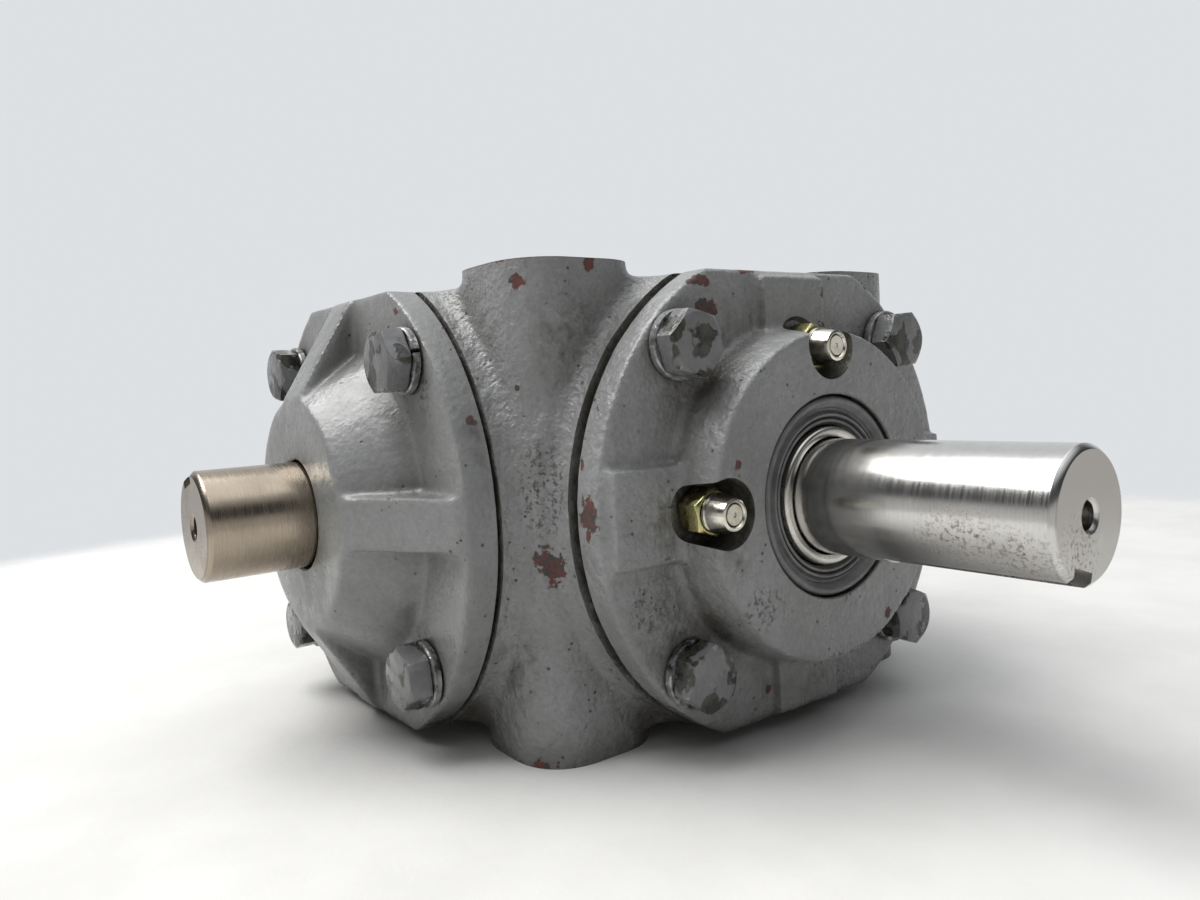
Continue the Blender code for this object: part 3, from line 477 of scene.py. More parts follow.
def painted_hardware(name, shift):
    """Screws and washers: dark steel with thick grey paint left in patches, black oily dirt, and
    painted shade of the same black in the hollows.
    """
    s = Shader(name, 0.30)
    place = s.scaled((1, 1, 1), shift)
    worn = s.ramp(s.noise(0.0060, 3.0, 0.5, place), 0.51, 0.57)
    paint = s.mix(s.noise(0.004, 2.0, 0.5, place), (0.110, 0.112, 0.113), (0.185, 0.188, 0.190))
    dirt_and_shade = s.mix(s.ramp(s.noise(0.0030, 2.0, 0.5, place), 0.45, 0.65), SOOT, (0.050, 0.050, 0.038))
    # The dark colour goes on the worn patches as dirt and into the hollows as painted shade.
    colour = s.mix(s.math("MAXIMUM", worn, s.hollows(0.004, 0.35, 0.9)), paint, dirt_and_shade)
    edge = s.node("ShaderNodeNewGeometry").outputs["Pointiness"]
    rubbed = s.math("MULTIPLY", s.ramp(edge, 0.52, 0.58), s.ramp(s.noise(0.003, 4.0, 0.6), 0.4, 0.6))
    s.set("Base Color", s.mix(rubbed, colour, (0.36, 0.36, 0.36)))
    s.set("Roughness", s.ramp(s.noise(0.0030, 3.0, 0.5, place), 0.35, 0.7, 0.16, 0.40))
    s.set("Metallic", s.math("MULTIPLY", rubbed, 0.6))
    s.bump((s.noise(0.0026, 2.0, 0.5, place), 0.00025), (worn, -0.00010))
    return s.material


def shaft_steel(name, tint, dark, roughness, lengthwise, rust_spots, face_from):
    """Ground steel: rings of fine grinding marks, faint stains, and rust where it is listed."""
    s = Shader(name, roughness, 1.0)
    stretch = [40.0 if axis == lengthwise else 1.0 for axis in "XYZ"]
    rings = s.noise(0.012, 4.0, 0.7, s.scaled(stretch))
    stain = s.ramp(s.noise(0.009, 5.0, 0.62), 0.45, 0.75)
    colour = s.mix(s.math("MULTIPLY", stain, 0.30), tint, dark)
    colour = s.mix(s.ramp(rings, 0.3, 0.7, 0.0, 0.14), colour, dark)
    rough = s.ramp(rings, 0.3, 0.7, roughness * 0.75, roughness * 1.35)
    if rust_spots:
        fine = s.ramp(s.noise(0.0009, 5.0, 0.75), 0.50, 0.62, 0.0, 0.85)
        zone = s.ramp(s.near(rust_spots), 0.05, 0.75)
        rust = s.math("MULTIPLY", fine, zone)
        colour = s.mix(rust, colour, (0.150, 0.100, 0.062))
        rough = s.math("MAXIMUM", rough, s.math("MULTIPLY", rust, 0.75))
        s.set("Metallic", s.math("SUBTRACT", 1.0, rust))
    separate = s.node("ShaderNodeSeparateXYZ")
    s.feed(separate.inputs[0], s.place)
    distance = separate.outputs[lengthwise]
    low, high = sorted((face_from, face_from + (0.0002 if face_from > 0 else -0.0002)))
    on_face = s.ramp(distance, low, high) if face_from > 0 else s.ramp(distance, low, high, 1.0, 0.0)
    colour = s.mix(s.math("MULTIPLY", on_face, 0.45), colour, dark)
    s.set("Base Color", colour)
    s.set("Roughness", rough)
    s.bump((rings, 0.000004), (s.noise(0.0060, 2.0), 0.00001))
    return s.material


def plain_steel(name, tint, roughness, metallic=1.0, mark=0.0015):
    """Turned or ground steel inside the case, wet with oil."""
    s = Shader(name, roughness, metallic, Coat_Weight=0.15)
    oil = s.ramp(s.noise(0.011, 4.0, 0.6), 0.4, 0.7)
    dark = tuple(0.55 * value for value in tint)
    s.set("Base Color", s.mix(s.math("MULTIPLY", oil, 0.5), tint, dark))
    s.set("Roughness", s.ramp(s.noise(mark, 4.0), 0.3, 0.7, roughness * 0.8, roughness * 1.3))
    s.bump((s.noise(mark, 3.0), 0.00002))
    return s.material


def seal_rubber():
    """The oil seal: moulded rubber with overspray, and black oil and painted shade darkening its
    grooves.
    """
    s = Shader("seal_face", 0.42)
    patch = s.ramp(s.noise(0.0045, 4.0, 0.6), 0.35, 0.65)
    grey = s.mix(patch, (0.125, 0.128, 0.130), (0.185, 0.190, 0.196))
    # Painted shade: grooves and hollows that the seal shades itself go near black.
    hollow_shade = s.hollows(0.0028, 0.45, 0.95)
    colour = s.mix(s.math("MULTIPLY", hollow_shade, 0.85), grey, (0.030, 0.027, 0.020))
    s.set("Base Color", colour)
    s.set("Roughness", s.ramp(s.noise(0.003, 3.0), 0.3, 0.7, 0.28, 0.5))
    s.bump((s.noise(0.0012, 3.0), 0.00006))
    return s.material


def gasket_skin():
    s = Shader("gasket_edge", 0.5)
    fibre = s.noise(0.0008, 4.0, 0.6)
    colour = s.mix(s.ramp(s.noise(0.008, 3.0), 0.4, 0.65), (0.030, 0.027, 0.022), (0.15, 0.115, 0.05))
    s.set("Base Color", colour)
    s.bump((fibre, 0.0001))
    return s.material


def yellow_zinc():
    s = Shader("yellow_zinc", 0.22, 1.0)
    rainbow = s.noise(0.0040, 3.0, 0.6)
    colour = s.mix(s.ramp(rainbow, 0.35, 0.7), (0.60, 0.52, 0.24), (0.42, 0.44, 0.22))
    # Painted shade: the fitting darkens to a dirty brown in its corners and recesses.
    dirt_and_shade = s.math("MULTIPLY", s.hollows(0.003, 0.3, 0.85), 0.85)
    s.set("Base Color", s.mix(dirt_and_shade, colour, (0.035, 0.028, 0.012)))
    s.set("Roughness", s.ramp(s.noise(0.002, 4.0), 0.3, 0.7, 0.16, 0.34))
    s.bump((s.noise(0.0015, 3.0), 0.00003))
    return s.material


def bright_plate():
    s = Shader("bright_plate", 0.2, 1.0)
    colour = s.mix(s.ramp(s.noise(0.003, 4.0), 0.4, 0.7), (0.78, 0.75, 0.68), (0.60, 0.58, 0.46))
    # Painted shade: the cap darkens to a dirty brown in its grooves and recesses.
    dirt_and_shade = s.math("MULTIPLY", s.hollows(0.0016, 0.35, 0.9), 0.9)
    s.set("Base Color", s.mix(dirt_and_shade, colour, (0.06, 0.052, 0.03)))
    s.set("Roughness", s.ramp(s.noise(0.001, 4.0), 0.3, 0.7, 0.13, 0.26))
    s.bump((s.noise(0.0012, 3.0), 0.00002))
    return s.material


# Where the paint is chipped to primer, smeared or pitted: (centre, radii) in millimetres
HOUSING_CHIPS = [
    ((53, -61, 105), (5, 3, 2.0)), ((57, -60, 100), (3.2, 3, 3.5)), ((56, -61, 78), (1.4, 2, 1.8)),
    ((62, -45, 104), (2, 3, 3.5)), ((62, -59, 41), (6, 6, 8)), ((57, -60, -3), (5, 4, 3)),
    ((-30, -60, 104), (4, 3, 2)), ((60, 52, 105), (3, 4, 2)), ((-58, 40, 60), (3, 3, 5)),
    ((-57, 58, 8), (4, 4, 3)), ((30, 62, 101), (3, 3, 3)), ((-61, -55, 103), (3, 4, 2)),
]
HOUSING_PITS = [((61, -59, 57), (7, 7, 13)), ((-60, 58, 70), (4, 4, 9)), ((20, 66, 30), (8, 3, 5))]
HOUSING_SMEARS = [
    ((61, -50, 88), (5, 12, 16)), ((52, -62, 20), (12, 5, 14)), ((-55, -50, 30), (9, 12, 14)),
]
OUTPUT_CHIPS = [
    ((73, -56, 52), (5, 2.4, 9)), ((70, -55.5, 62), (1.6, 2, 3)), ((76, -28, 99), (2, 8, 2.4)),
    ((76, -13, 101.5), (3, 5, 1.6)), ((76, -25, 93), (2, 6, 4)), ((79, 10, 97), (2, 2.2, 4)),
    ((79, -3, 88), (2, 2.0, 4)), ((80, 9, 89), (4, 4, 3)), ((88, -30, 60), (3, 2.0, 3.4)),
    ((76, -10, 7), (2, 4, 3.4)), ((88, 17, 21.5), (3, 2.4, 2.4)), ((76, 45, 85), (2, 4, 3)),
    ((76, 30, 99), (2, 3, 2)),
]
OUTPUT_SMEARS = [
    ((76, -25, 90), (4, 14, 10)), ((76, -40, 27), (4, 14, 12)), ((79, -42, 50), (3, 12, 9)),
    ((88, -32, 42), (4, 7, 7)), ((77, 0, 8), (4, 18, 6)), ((82, -33, 50.8), (7, 11, 11)),
    ((82, 0, 84), (7, 11, 11)),
]
OUTPUT_PITS = [((88.5, -24, 30), (2, 8, 6)), ((88.5, 3, 15), (2, 9, 2.5)), ((76, -45, 32), (2, 7, 7))]
INPUT_CHIPS = [
    ((52, -70, 72), (3, 2, 2)), ((10, -72, 101), (5, 3, 2)), ((30, -74, 96), (3, 2, 2)),
    ((-52, -74, 40), (3, 2, 4)), ((-20, -75, 12), (4, 2, 2)),
]
INPUT_SMEARS = [((36, -76, 86), (10, 4, 10)), ((34, -75, 16), (9, 4, 9)), ((52, -70, 60), (6, 3, 26))]
INPUT_PITS = [((40, -74, 78), (5, 3, 5)), ((33, -74, 24), (5, 3, 5))]
REAR_CHIPS = [((-74, 40, 92), (2, 4, 3)), ((-74, -30, 98), (2, 5, 2)), ((-84, 10, 40), (2, 3, 3)),
              ((-72, 55, 50), (4, 2, 6))]
REAR_SMEARS = [((-76, 34, 20), (4, 10, 10)), ((-76, -34, 84), (4, 9, 9))]
REAR_PITS = [((-76, 30, 30), (3, 8, 8))]
SHAFT_RUST = [((126, -12, 46), (13, 6, 9)), ((137, -11, 43), (9, 8, 10)), ((131, -3, 39), (12, 8, 4)),
              ((143, -4, 45), (1.5, 9, 9))]

MATERIALS = {
    "housing": enamel("enamel_housing", 1.5, HOUSING_CHIPS, HOUSING_SMEARS, HOUSING_PITS),
    "output": enamel("enamel_output_cover", 1.1, OUTPUT_CHIPS, OUTPUT_SMEARS, OUTPUT_PITS),
    "input": enamel("enamel_input_cover", 0.45, INPUT_CHIPS, INPUT_SMEARS, INPUT_PITS),
    "rear": enamel("enamel_rear_cap", 0.8, REAR_CHIPS, REAR_SMEARS, REAR_PITS),
    "output_shaft": shaft_steel("polished_shaft_steel", (0.66, 0.65, 0.63), (0.34, 0.32, 0.29), 0.20,
                                "X", SHAFT_RUST, OUTPUT_SHAFT_END - 0.0003),
    "input_shaft": shaft_steel("ground_shaft_steel", (0.40, 0.34, 0.27), (0.20, 0.16, 0.12), 0.24,
                               "Y", [], -INPUT_SHAFT_END + 0.0003),
    "wiper": plain_steel("wiper_ring_steel", (0.62, 0.60, 0.56), 0.24, 1.0, 0.006),
    "gear": plain_steel("hardened_gear_steel", (0.42, 0.43, 0.45), 0.30),
    "dark": plain_steel("dark_spring_steel", (0.14, 0.14, 0.15), 0.42, 0.9),
    "roller": plain_steel("roller_steel", (0.62, 0.60, 0.55), 0.18),
    "seal": seal_rubber(),
    "gasket": gasket_skin(),
    "zinc": yellow_zinc(),
    "plate": bright_plate(),
}


# ---------------------------------------------------------------- castings

def rounded_post(bm, x, y):
    """An upright post whose plan is a square with round corners, longer than it will end up."""
    half = POST_HALF - POST_CORNER
    outline = []
    for corner in range(4):
        centre = Vector((half if corner in (0, 3) else -half, half if corner in (0, 1) else -half))
        for step in range(7):
            angle = math.pi / 2 * (corner + step / 6)
            outline.append((x + centre.x + POST_CORNER * math.cos(angle),
                            y + centre.y + POST_CORNER * math.sin(angle)))
    high = POST_HALF_HEIGHT + 0.003
    lower = [bm.verts.new((px, py, -high)) for px, py in outline]
    upper = [bm.verts.new((px, py, high)) for px, py in outline]
    bm.faces.new(list(reversed(lower)))
    bm.faces.new(upper)
    for index in range(len(outline)):
        after = (index + 1) % len(outline)
        bm.faces.new((lower[index], lower[after], upper[after], upper[index]))


def seat_outline(face):
    """A round seat whose foot flares out in a hollow curve onto the block."""
    points = [(0, face), (SEAT_RADIUS, face)]
    for step in range(0, 7):
        angle = math.radians(15 * step)
        points.append((SEAT_RADIUS + SEAT_FLARE * (1 - math.cos(angle)),
                       SEAT_FACE - 0.0012 - SEAT_FLARE * math.sin(angle)))
    points += [(points[-1][0], BLOCK_HALF - 0.008), (0, BLOCK_HALF - 0.008)]
    return points


def build_housing():
    crossing = Matrix.Translation(CROSSING)
    bm = bmesh.new()
    box(bm, (-BLOCK_HALF, -BLOCK_HALF, -ROUGH_HALF_HEIGHT), (BLOCK_HALF, BLOCK_HALF, ROUGH_HALF_HEIGHT))
    casting = made("housing_casting", bm, crossing)
    for axis in AXES:
        face = SEAT_FACE if axis == "blind" else SEAT_FACE + STOCK
        join(casting, lathe, seat_outline(face), steps=ROUND, matrix=along(axis))
    mill_both_ends(casting, HALF_HEIGHT, crossing)
    for x in (-POST_CENTRE, POST_CENTRE):
        for y in (-POST_CENTRE, POST_CENTRE):
            join(casting, rounded_post, x, y, matrix=crossing)
    cast_skin(casting, 0.0009, 12, 0.00016)

    mill_both_ends(casting, POST_HALF_HEIGHT, crossing)
    for axis in ("output", "input", "rear"):
        mill(casting, SEAT_FACE, FAR, along(axis))
    cut(casting, cylinder, BORE_RADIUS, -FAR, FAR, steps=ROUND, matrix=along("output"))
    # The second bore is turned a little, so that its facets don't lie on those of the first
    turned = along("input") @ Matrix.Rotation(math.radians(1.7), 4, "Z")
    cut(casting, cylinder, BORE_RADIUS, -BLIND_WALL_INSIDE, FAR, steps=ROUND, matrix=turned)
    for axis in ("output", "input", "rear"):
        for x, y in BOLT_PLACES:
            cut(casting, cylinder, BOLT_HOLE_RADIUS, SEAT_FACE - BOLT_IN_HOUSING - 0.003, FAR, x, y,
                steps=24, matrix=along(axis))
    for x in (-POST_CENTRE, POST_CENTRE):
        for y in (-POST_CENTRE, POST_CENTRE):
            for side in (-1, 1):
                mouth = side * POST_HALF_HEIGHT
                depth = mouth - side * MOUNT_HOLE_DEPTH
                outside = mouth + side * STOCK
                outline = [(0, outside), (MOUNT_HOLE_RADIUS + 0.0026, outside),
                           (MOUNT_HOLE_RADIUS, mouth - side * 0.0006), (MOUNT_HOLE_RADIUS, depth),
                           (0, depth - side * 0.0015)]
                cut(casting, lathe, outline, steps=32, x=x, y=y, matrix=crossing)
    finished(casting, "gearcase", "enamel", MATERIALS["housing"], "housing")


def trim_flats(obj, matrix, reach=HALF_HEIGHT):
    """Cuts a flange level with the top and the underside of the body."""
    for low, high in ((reach, FAR), (-FAR, -reach)):
        cut(obj, box, (low, -FAR, 0), (high, FAR, 2 * FAR), matrix=matrix)


def add_ribs(obj, matrix, half_width, outline_for):
    """Two crossing bars make the four ribs. The upright ones are shorter."""
    for across_y, reach in ((True, RIB_REACH_FLAT), (False, RIB_REACH_SIDE)):
        join(obj, prism, outline_for(reach), half_width, across_y, matrix=matrix)


def drill_bolt_holes(obj, matrix):
    for x, y in BOLT_PLACES:
        cut(obj, cylinder, BOLT_HOLE_RADIUS, 0, FAR, x, y, steps=24, matrix=matrix)


def pilot_outline(flange_back):
    """The round spigot behind a flange that fits the housing's bore."""
    return [(0, flange_back + BITE), (PILOT_RADIUS, flange_back + BITE),
            (PILOT_RADIUS, PILOT_START), (0, PILOT_START)]


def build_cover(name, axis, flange_back, hub, bar, rib_half, pilot, bore, slot_material, node, grain):
    """One flanged cover: a hub on a flange with four ribs, cast, then bored and drilled.
    hub is the outline of its outer face and bore that of everything cut out along its axis."""
    front = flange_back + FLANGE_THICKNESS
    matrix = along(axis)
    outline = hub + [(FLANGE_RADIUS, front), (FLANGE_RADIUS, flange_back - STOCK),
                     (0, flange_back - STOCK)]
    bm = bmesh.new()
    lathe(bm, outline)
    cover = made(name, bm, matrix)
    add_ribs(cover, matrix, rib_half, bar)
    trim_flats(cover, matrix)
    cast_skin(cover, 0.00075, grain, 0.00010)
    mill(cover, 0, flange_back, matrix)
    join(cover, lathe, pilot, steps=ROUND, matrix=matrix)
    cut(cover, lathe, bore, steps=ROUND, matrix=matrix)
    drill_bolt_holes(cover, matrix)
    return finished(cover, "gearcase", "enamel", slot_material, node)


def build_output_cover():
    front = OUTPUT_FLANGE_BACK + FLANGE_THICKNESS
    hub = [(0, OUTPUT_HUB_FACE), (OUTPUT_HUB_RADIUS, OUTPUT_HUB_FACE), (OUTPUT_HUB_FOOT, front)]
    low, high = front - 0.004, front + OUTPUT_RIB_RISE

    def bar(reach):
        return [(-reach, low), (reach, low), (reach - 0.0008, high), (0.0008 - reach, high)]

    pilot = pilot_outline(OUTPUT_FLANGE_BACK)
    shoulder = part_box("output_front_bearing_cup")[1].x + GAP
    seal, cup = SEAL_RADIUS + GAP, CUP_RADIUS + GAP
    bore = [(0, OUTPUT_HUB_FACE + STOCK), (seal + SEAL_LEAD_IN, OUTPUT_HUB_FACE + STOCK),
            (seal, OUTPUT_HUB_FACE - 0.0003), (seal, SEAL_BACK - GAP),
            (SHAFT_CLEARANCE_RADIUS, SEAL_BACK - GAP), (SHAFT_CLEARANCE_RADIUS, shoulder),
            (cup, shoulder), (cup, PILOT_START - BITE), (0, PILOT_START - BITE)]
    cover = build_cover("output_cover_casting", "output", OUTPUT_FLANGE_BACK, hub, bar,
                        OUTPUT_RIB_HALF, pilot, bore, MATERIALS["output"], "output_cover", 9)
    matrix = along("output")
    for x, y in FITTING_PLACES.values():
        pocket = [(0, FAR), (FITTING_POCKET_RADIUS, FAR),
                  (FITTING_POCKET_RADIUS, FITTING_POCKET_FLOOR + 0.0008),
                  (FITTING_POCKET_RADIUS - 0.0008, FITTING_POCKET_FLOOR), (0, FITTING_POCKET_FLOOR)]
        cut(cover, lathe, pocket, steps=64, x=x, y=y, matrix=matrix)
        cut(cover, cylinder, FITTING_THREAD_RADIUS + GAP, 0, FITTING_POCKET_FLOOR + BITE, x, y,
            matrix=matrix)
    cover.data.shade_smooth()
    cover.data.set_sharp_from_angle(angle=math.radians(35))


def plain_bar(front, face, hub_radius):
    """The side view of a rib that slopes from the hub's face down to the flange's rim."""
    def bar(reach):
        low, foot, top = front - 0.004, front + 0.0009, face - 0.0003
        inner = hub_radius + 0.0008
        return [(-reach, low), (reach, low), (reach, foot), (inner, top), (-inner, top), (-reach, foot)]
    return bar


def build_input_cover():
    front = PLAIN_FLANGE_BACK + FLANGE_THICKNESS
    hub = [(0, INPUT_HUB_FACE), (INPUT_HUB_RADIUS, INPUT_HUB_FACE), (INPUT_HUB_FOOT, front)]
    pilot = pilot_outline(PLAIN_FLANGE_BACK)
    pilot[-1:] = [(INPUT_SLEEVE_RADIUS, PILOT_START), (INPUT_SLEEVE_RADIUS, INPUT_SLEEVE_START),
                  (0, INPUT_SLEEVE_START)]
    seal_low, seal_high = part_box("input_seal")
    seal_radius = seal_high.x + GAP
    shoulder = -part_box("input_outer_bearing_cup")[0].y + GAP
    snap_low, snap_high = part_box("input_bearing_snap_ring")
    groove = (-snap_high.y - GAP, -snap_low.y + GAP)
    cup = CUP_RADIUS + GAP
    mouth = INPUT_HUB_FACE + STOCK
    bore = [(0, mouth), (INPUT_HOLE_RADIUS + INPUT_HOLE_LEAD_IN, mouth),
            (INPUT_HOLE_RADIUS, INPUT_HUB_FACE - 0.0004), (INPUT_HOLE_RADIUS, -seal_low.y + GAP),
            (seal_radius, -seal_low.y + GAP), (seal_radius, shoulder), (cup, shoulder),
            (cup, groove[1]), (cup + GROOVE_DEPTH, groove[1]), (cup + GROOVE_DEPTH, groove[0]),
            (cup, groove[0]), (cup, INPUT_SLEEVE_START - BITE), (0, INPUT_SLEEVE_START - BITE)]
    build_cover("input_cover_casting", "input", PLAIN_FLANGE_BACK, hub,
                plain_bar(front, INPUT_HUB_FACE, INPUT_HUB_RADIUS), PLAIN_RIB_HALF, pilot, bore,
                MATERIALS["input"], "input_cover", 6)


def build_rear_cap():
    front = PLAIN_FLANGE_BACK + FLANGE_THICKNESS
    hub = [(0, REAR_HUB_FACE), (REAR_HUB_RADIUS, REAR_HUB_FACE), (REAR_HUB_FOOT, front)]
    pilot = pilot_outline(PLAIN_FLANGE_BACK)
    shoulder = -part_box("output_rear_bearing_cup")[0].x + GAP
    cup = CUP_RADIUS + GAP
    bore = [(0, REAR_HOLLOW_END), (SHAFT_CLEARANCE_RADIUS, REAR_HOLLOW_END),
            (SHAFT_CLEARANCE_RADIUS, shoulder), (cup, shoulder), (cup, PILOT_START - BITE),
            (0, PILOT_START - BITE)]
    build_cover("rear_cap_casting", "rear", PLAIN_FLANGE_BACK, hub,
                plain_bar(front, REAR_HUB_FACE, REAR_HUB_RADIUS), PLAIN_RIB_HALF, pilot, bore,
                MATERIALS["rear"], "rear_cap", 6)


def build_gasket(name, axis, flange_back, node):
    matrix = along(axis)
    bm = bmesh.new()
    low, high = SEAT_FACE + GAP, flange_back - GAP
    lathe(bm, [(GASKET_RADIUS, high), (GASKET_RADIUS, low), (BORE_RADIUS, low), (BORE_RADIUS, high)])
    gasket = made(name, bm, matrix)
    trim_flats(gasket, matrix, HALF_HEIGHT - 0.0006)
    drill_bolt_holes(gasket, matrix)
    finished(gasket, "gearcase", "shim", MATERIALS["gasket"], node)


# ---------------------------------------------------------------- screws and washers

def hexagon(bm, across_flats, low, high):
    lathe(bm, [(0, high), (across_flats / math.sqrt(3), high), (across_flats / math.sqrt(3), low),
               (0, low)], 6)


def build_screw_pattern(length):
    """A hex head screw with a chamfered head, softened as if painted over."""
    bm = bmesh.new()
    hexagon(bm, BOLT_HEAD_FLATS, 0, BOLT_HEAD_HEIGHT)
    screw = made("screw", bm)
    bm = bmesh.new()
    top, flat = BOLT_HEAD_HEIGHT, BOLT_HEAD_FLATS / 2
    lathe(bm, [(0, top), (flat * 0.95, top), (flat * 0.99, top - 0.00010), (flat * 1.17, top - 0.0007),
               (flat * 1.17, 0.0003), (flat * 1.05, 0), (0, 0)], ROUND)
    boolean(screw, made("tool", bm), "INTERSECT")
    soften = screw.modifiers.new("Soften", "BEVEL")
    soften.width = 0.00028
    soften.segments = 3
    soften.limit_method = "ANGLE"
    soften.angle_limit = math.radians(24)
    applied(screw)
    join(screw, lathe, [(0, 0.001), (BOLT_RADIUS, 0.001), (BOLT_RADIUS, -length + 0.0008),
                        (BOLT_RADIUS - 0.0008, -length), (0, -length)], 32)
    return screw


def build_washer_pattern():
    """A split spring washer, its ends slightly apart."""
    edge = 0.0003
    bm = bmesh.new()
    inner, outer, high = BOLT_HOLE_RADIUS, WASHER_RADIUS, WASHER_THICKNESS
    lathe(bm, [(outer - edge, high), (outer, high - edge), (outer, edge), (outer - edge, 0), (inner, 0),
               (inner, high)], 64)
    washer = made("washer", bm)
    cut(washer, box, (0, -0.0005, -0.001), (0.010, 0.0005, 0.004), turn=0.4)
    return washer


def build_screws(prefix, axis, flange_back):
    seat = flange_back + FLANGE_THICKNESS
    under_head = seat + GAP + WASHER_THICKNESS + GAP
    screw = build_screw_pattern(under_head - (SEAT_FACE - BOLT_IN_HOUSING))
    washer = build_washer_pattern()
    matrix = along(axis)
    for number, (x, y) in enumerate(BOLT_PLACES, start=1):
        skin = painted_hardware("painted_{}_screw_{}".format(prefix, number),
                                (0.013 * number, 0.007 * number, 0.02 * len(prefix)))
        pieces = (("bolt", screw, under_head, 17 * number),
                  ("lock_washer", washer, seat + GAP, 41 * number))
        for kind, pattern, height, turn in pieces:
            node = "{}_{}_{}".format(prefix, kind, number)
            mesh = pattern.data.copy()
            place = matrix @ Matrix.Translation((x, y, height))
            mesh.transform(place @ Matrix.Rotation(math.radians(turn), 4, "Z"))
            piece = bpy.data.objects.new(node + "_piece", mesh)
            bpy.context.scene.collection.objects.link(piece)
            finished(piece, "gearcase", "screws", skin, node, sharp=32)
    bpy.data.objects.remove(screw)
    bpy.data.objects.remove(washer)


# ---------------------------------------------------------------- shafts, seal, fittings

def shaft_end_outline(end, chamfer=SHAFT_CHAMFER):
    """The centre hole, end face and chamfer, from the axis outwards."""
    return [(0, end - 0.0078), (0.0026, end - 0.0064), (0.0026, end - 0.0007), (0.0031, end - 0.0001),
            (0.0033, end), (SHAFT_RADIUS - chamfer - 0.0002, end),
            (SHAFT_RADIUS - chamfer, end - 0.0001),
            (SHAFT_RADIUS - 0.0001, end - chamfer), (SHAFT_RADIUS, end - chamfer - 0.0002)]


def build_output_shaft():
    cone_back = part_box("output_front_bearing_cone")[0].x - GAP
    gear_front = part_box("output_gear")[0].x
    outline = shaft_end_outline(OUTPUT_SHAFT_END) + [
        (SHAFT_RADIUS, cone_back), (BEARING_SEAT_RADIUS, cone_back),
        (BEARING_SEAT_RADIUS, gear_front - GAP), (SHOULDER_RADIUS, gear_front - GAP),
        (SHOULDER_RADIUS, -gear_front), (BEARING_SEAT_RADIUS, -gear_front),
        (BEARING_SEAT_RADIUS, -cone_back), (SHAFT_RADIUS, -cone_back),
        (SHAFT_RADIUS, SHAFT_CHAMFER - SHAFT_REAR_END), (SHAFT_RADIUS - SHAFT_CHAMFER, -SHAFT_REAR_END),
        (0, -SHAFT_REAR_END)]
    matrix = along("output")
    bm = bmesh.new()
    lathe(bm, outline)
    shaft = made("output_shaft_turned", bm, matrix)
    half = KEY_WIDTH / 2
    cut(shaft, box, (SHAFT_RADIUS - KEYWAY_DEPTH, -half, OUTPUT_SHAFT_END - OUTPUT_KEYWAY_LENGTH),
        (FAR, half, OUTPUT_SHAFT_END + FAR), matrix=matrix, turn=OUTPUT_KEYWAY_ANGLE)
    key_low, key_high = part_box("output_gear_key")
    cut(shaft, box, (BEARING_SEAT_RADIUS - KEYWAY_DEPTH - GAP, -half - GAP, key_low.x - GAP),
        (FAR, half + GAP, key_high.x + GAP), matrix=matrix)
    finished(shaft, "output_shaft_group", "polished_shaft", MATERIALS["output_shaft"], "output_shaft",
             sharp=25)


def build_input_shaft():
    ring_seat = SHAFT_RADIUS - RING_GROOVE_DEPTH
    lock_low = -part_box("input_shaft_lock_ring")[1].y
    lock_high = -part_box("input_shaft_lock_ring")[0].y
    ring_low = -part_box("pinion_retaining_ring")[1].y
    ring_high = -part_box("pinion_retaining_ring")[0].y
    start = -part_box("input_shaft")[1].y
    outline = shaft_end_outline(INPUT_SHAFT_END) + [
        (SHAFT_RADIUS, lock_high + GAP), (ring_seat, lock_high + GAP), (ring_seat, lock_low - GAP),
        (SHAFT_RADIUS, lock_low - GAP), (SHAFT_RADIUS, ring_high + GAP), (ring_seat, ring_high + GAP),
        (ring_seat, ring_low - GAP), (SHAFT_RADIUS, ring_low - GAP),
        (SHAFT_RADIUS, start + SHAFT_CHAMFER), (SHAFT_RADIUS - SHAFT_CHAMFER, start), (0, start)]
    matrix = along("input")
    bm = bmesh.new()
    lathe(bm, outline)
    shaft = made("input_shaft_turned", bm, matrix)
    half = KEY_WIDTH / 2
    cut(shaft, box, (SHAFT_RADIUS - KEYWAY_DEPTH, -half, INPUT_SHAFT_END - INPUT_KEYWAY_LENGTH),
        (FAR, half, INPUT_SHAFT_END + FAR), matrix=matrix, turn=INPUT_KEYWAY_ANGLE)
    key_low, key_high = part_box("pinion_key")
    cut(shaft, box, (SHAFT_RADIUS - KEYWAY_DEPTH - GAP, -half - GAP, -key_high.y - GAP),
        (FAR, half + GAP, -key_low.y + GAP), matrix=matrix)
    finished(shaft, "input_shaft_group", "ground_shaft", MATERIALS["input_shaft"], "input_shaft",
             sharp=25)


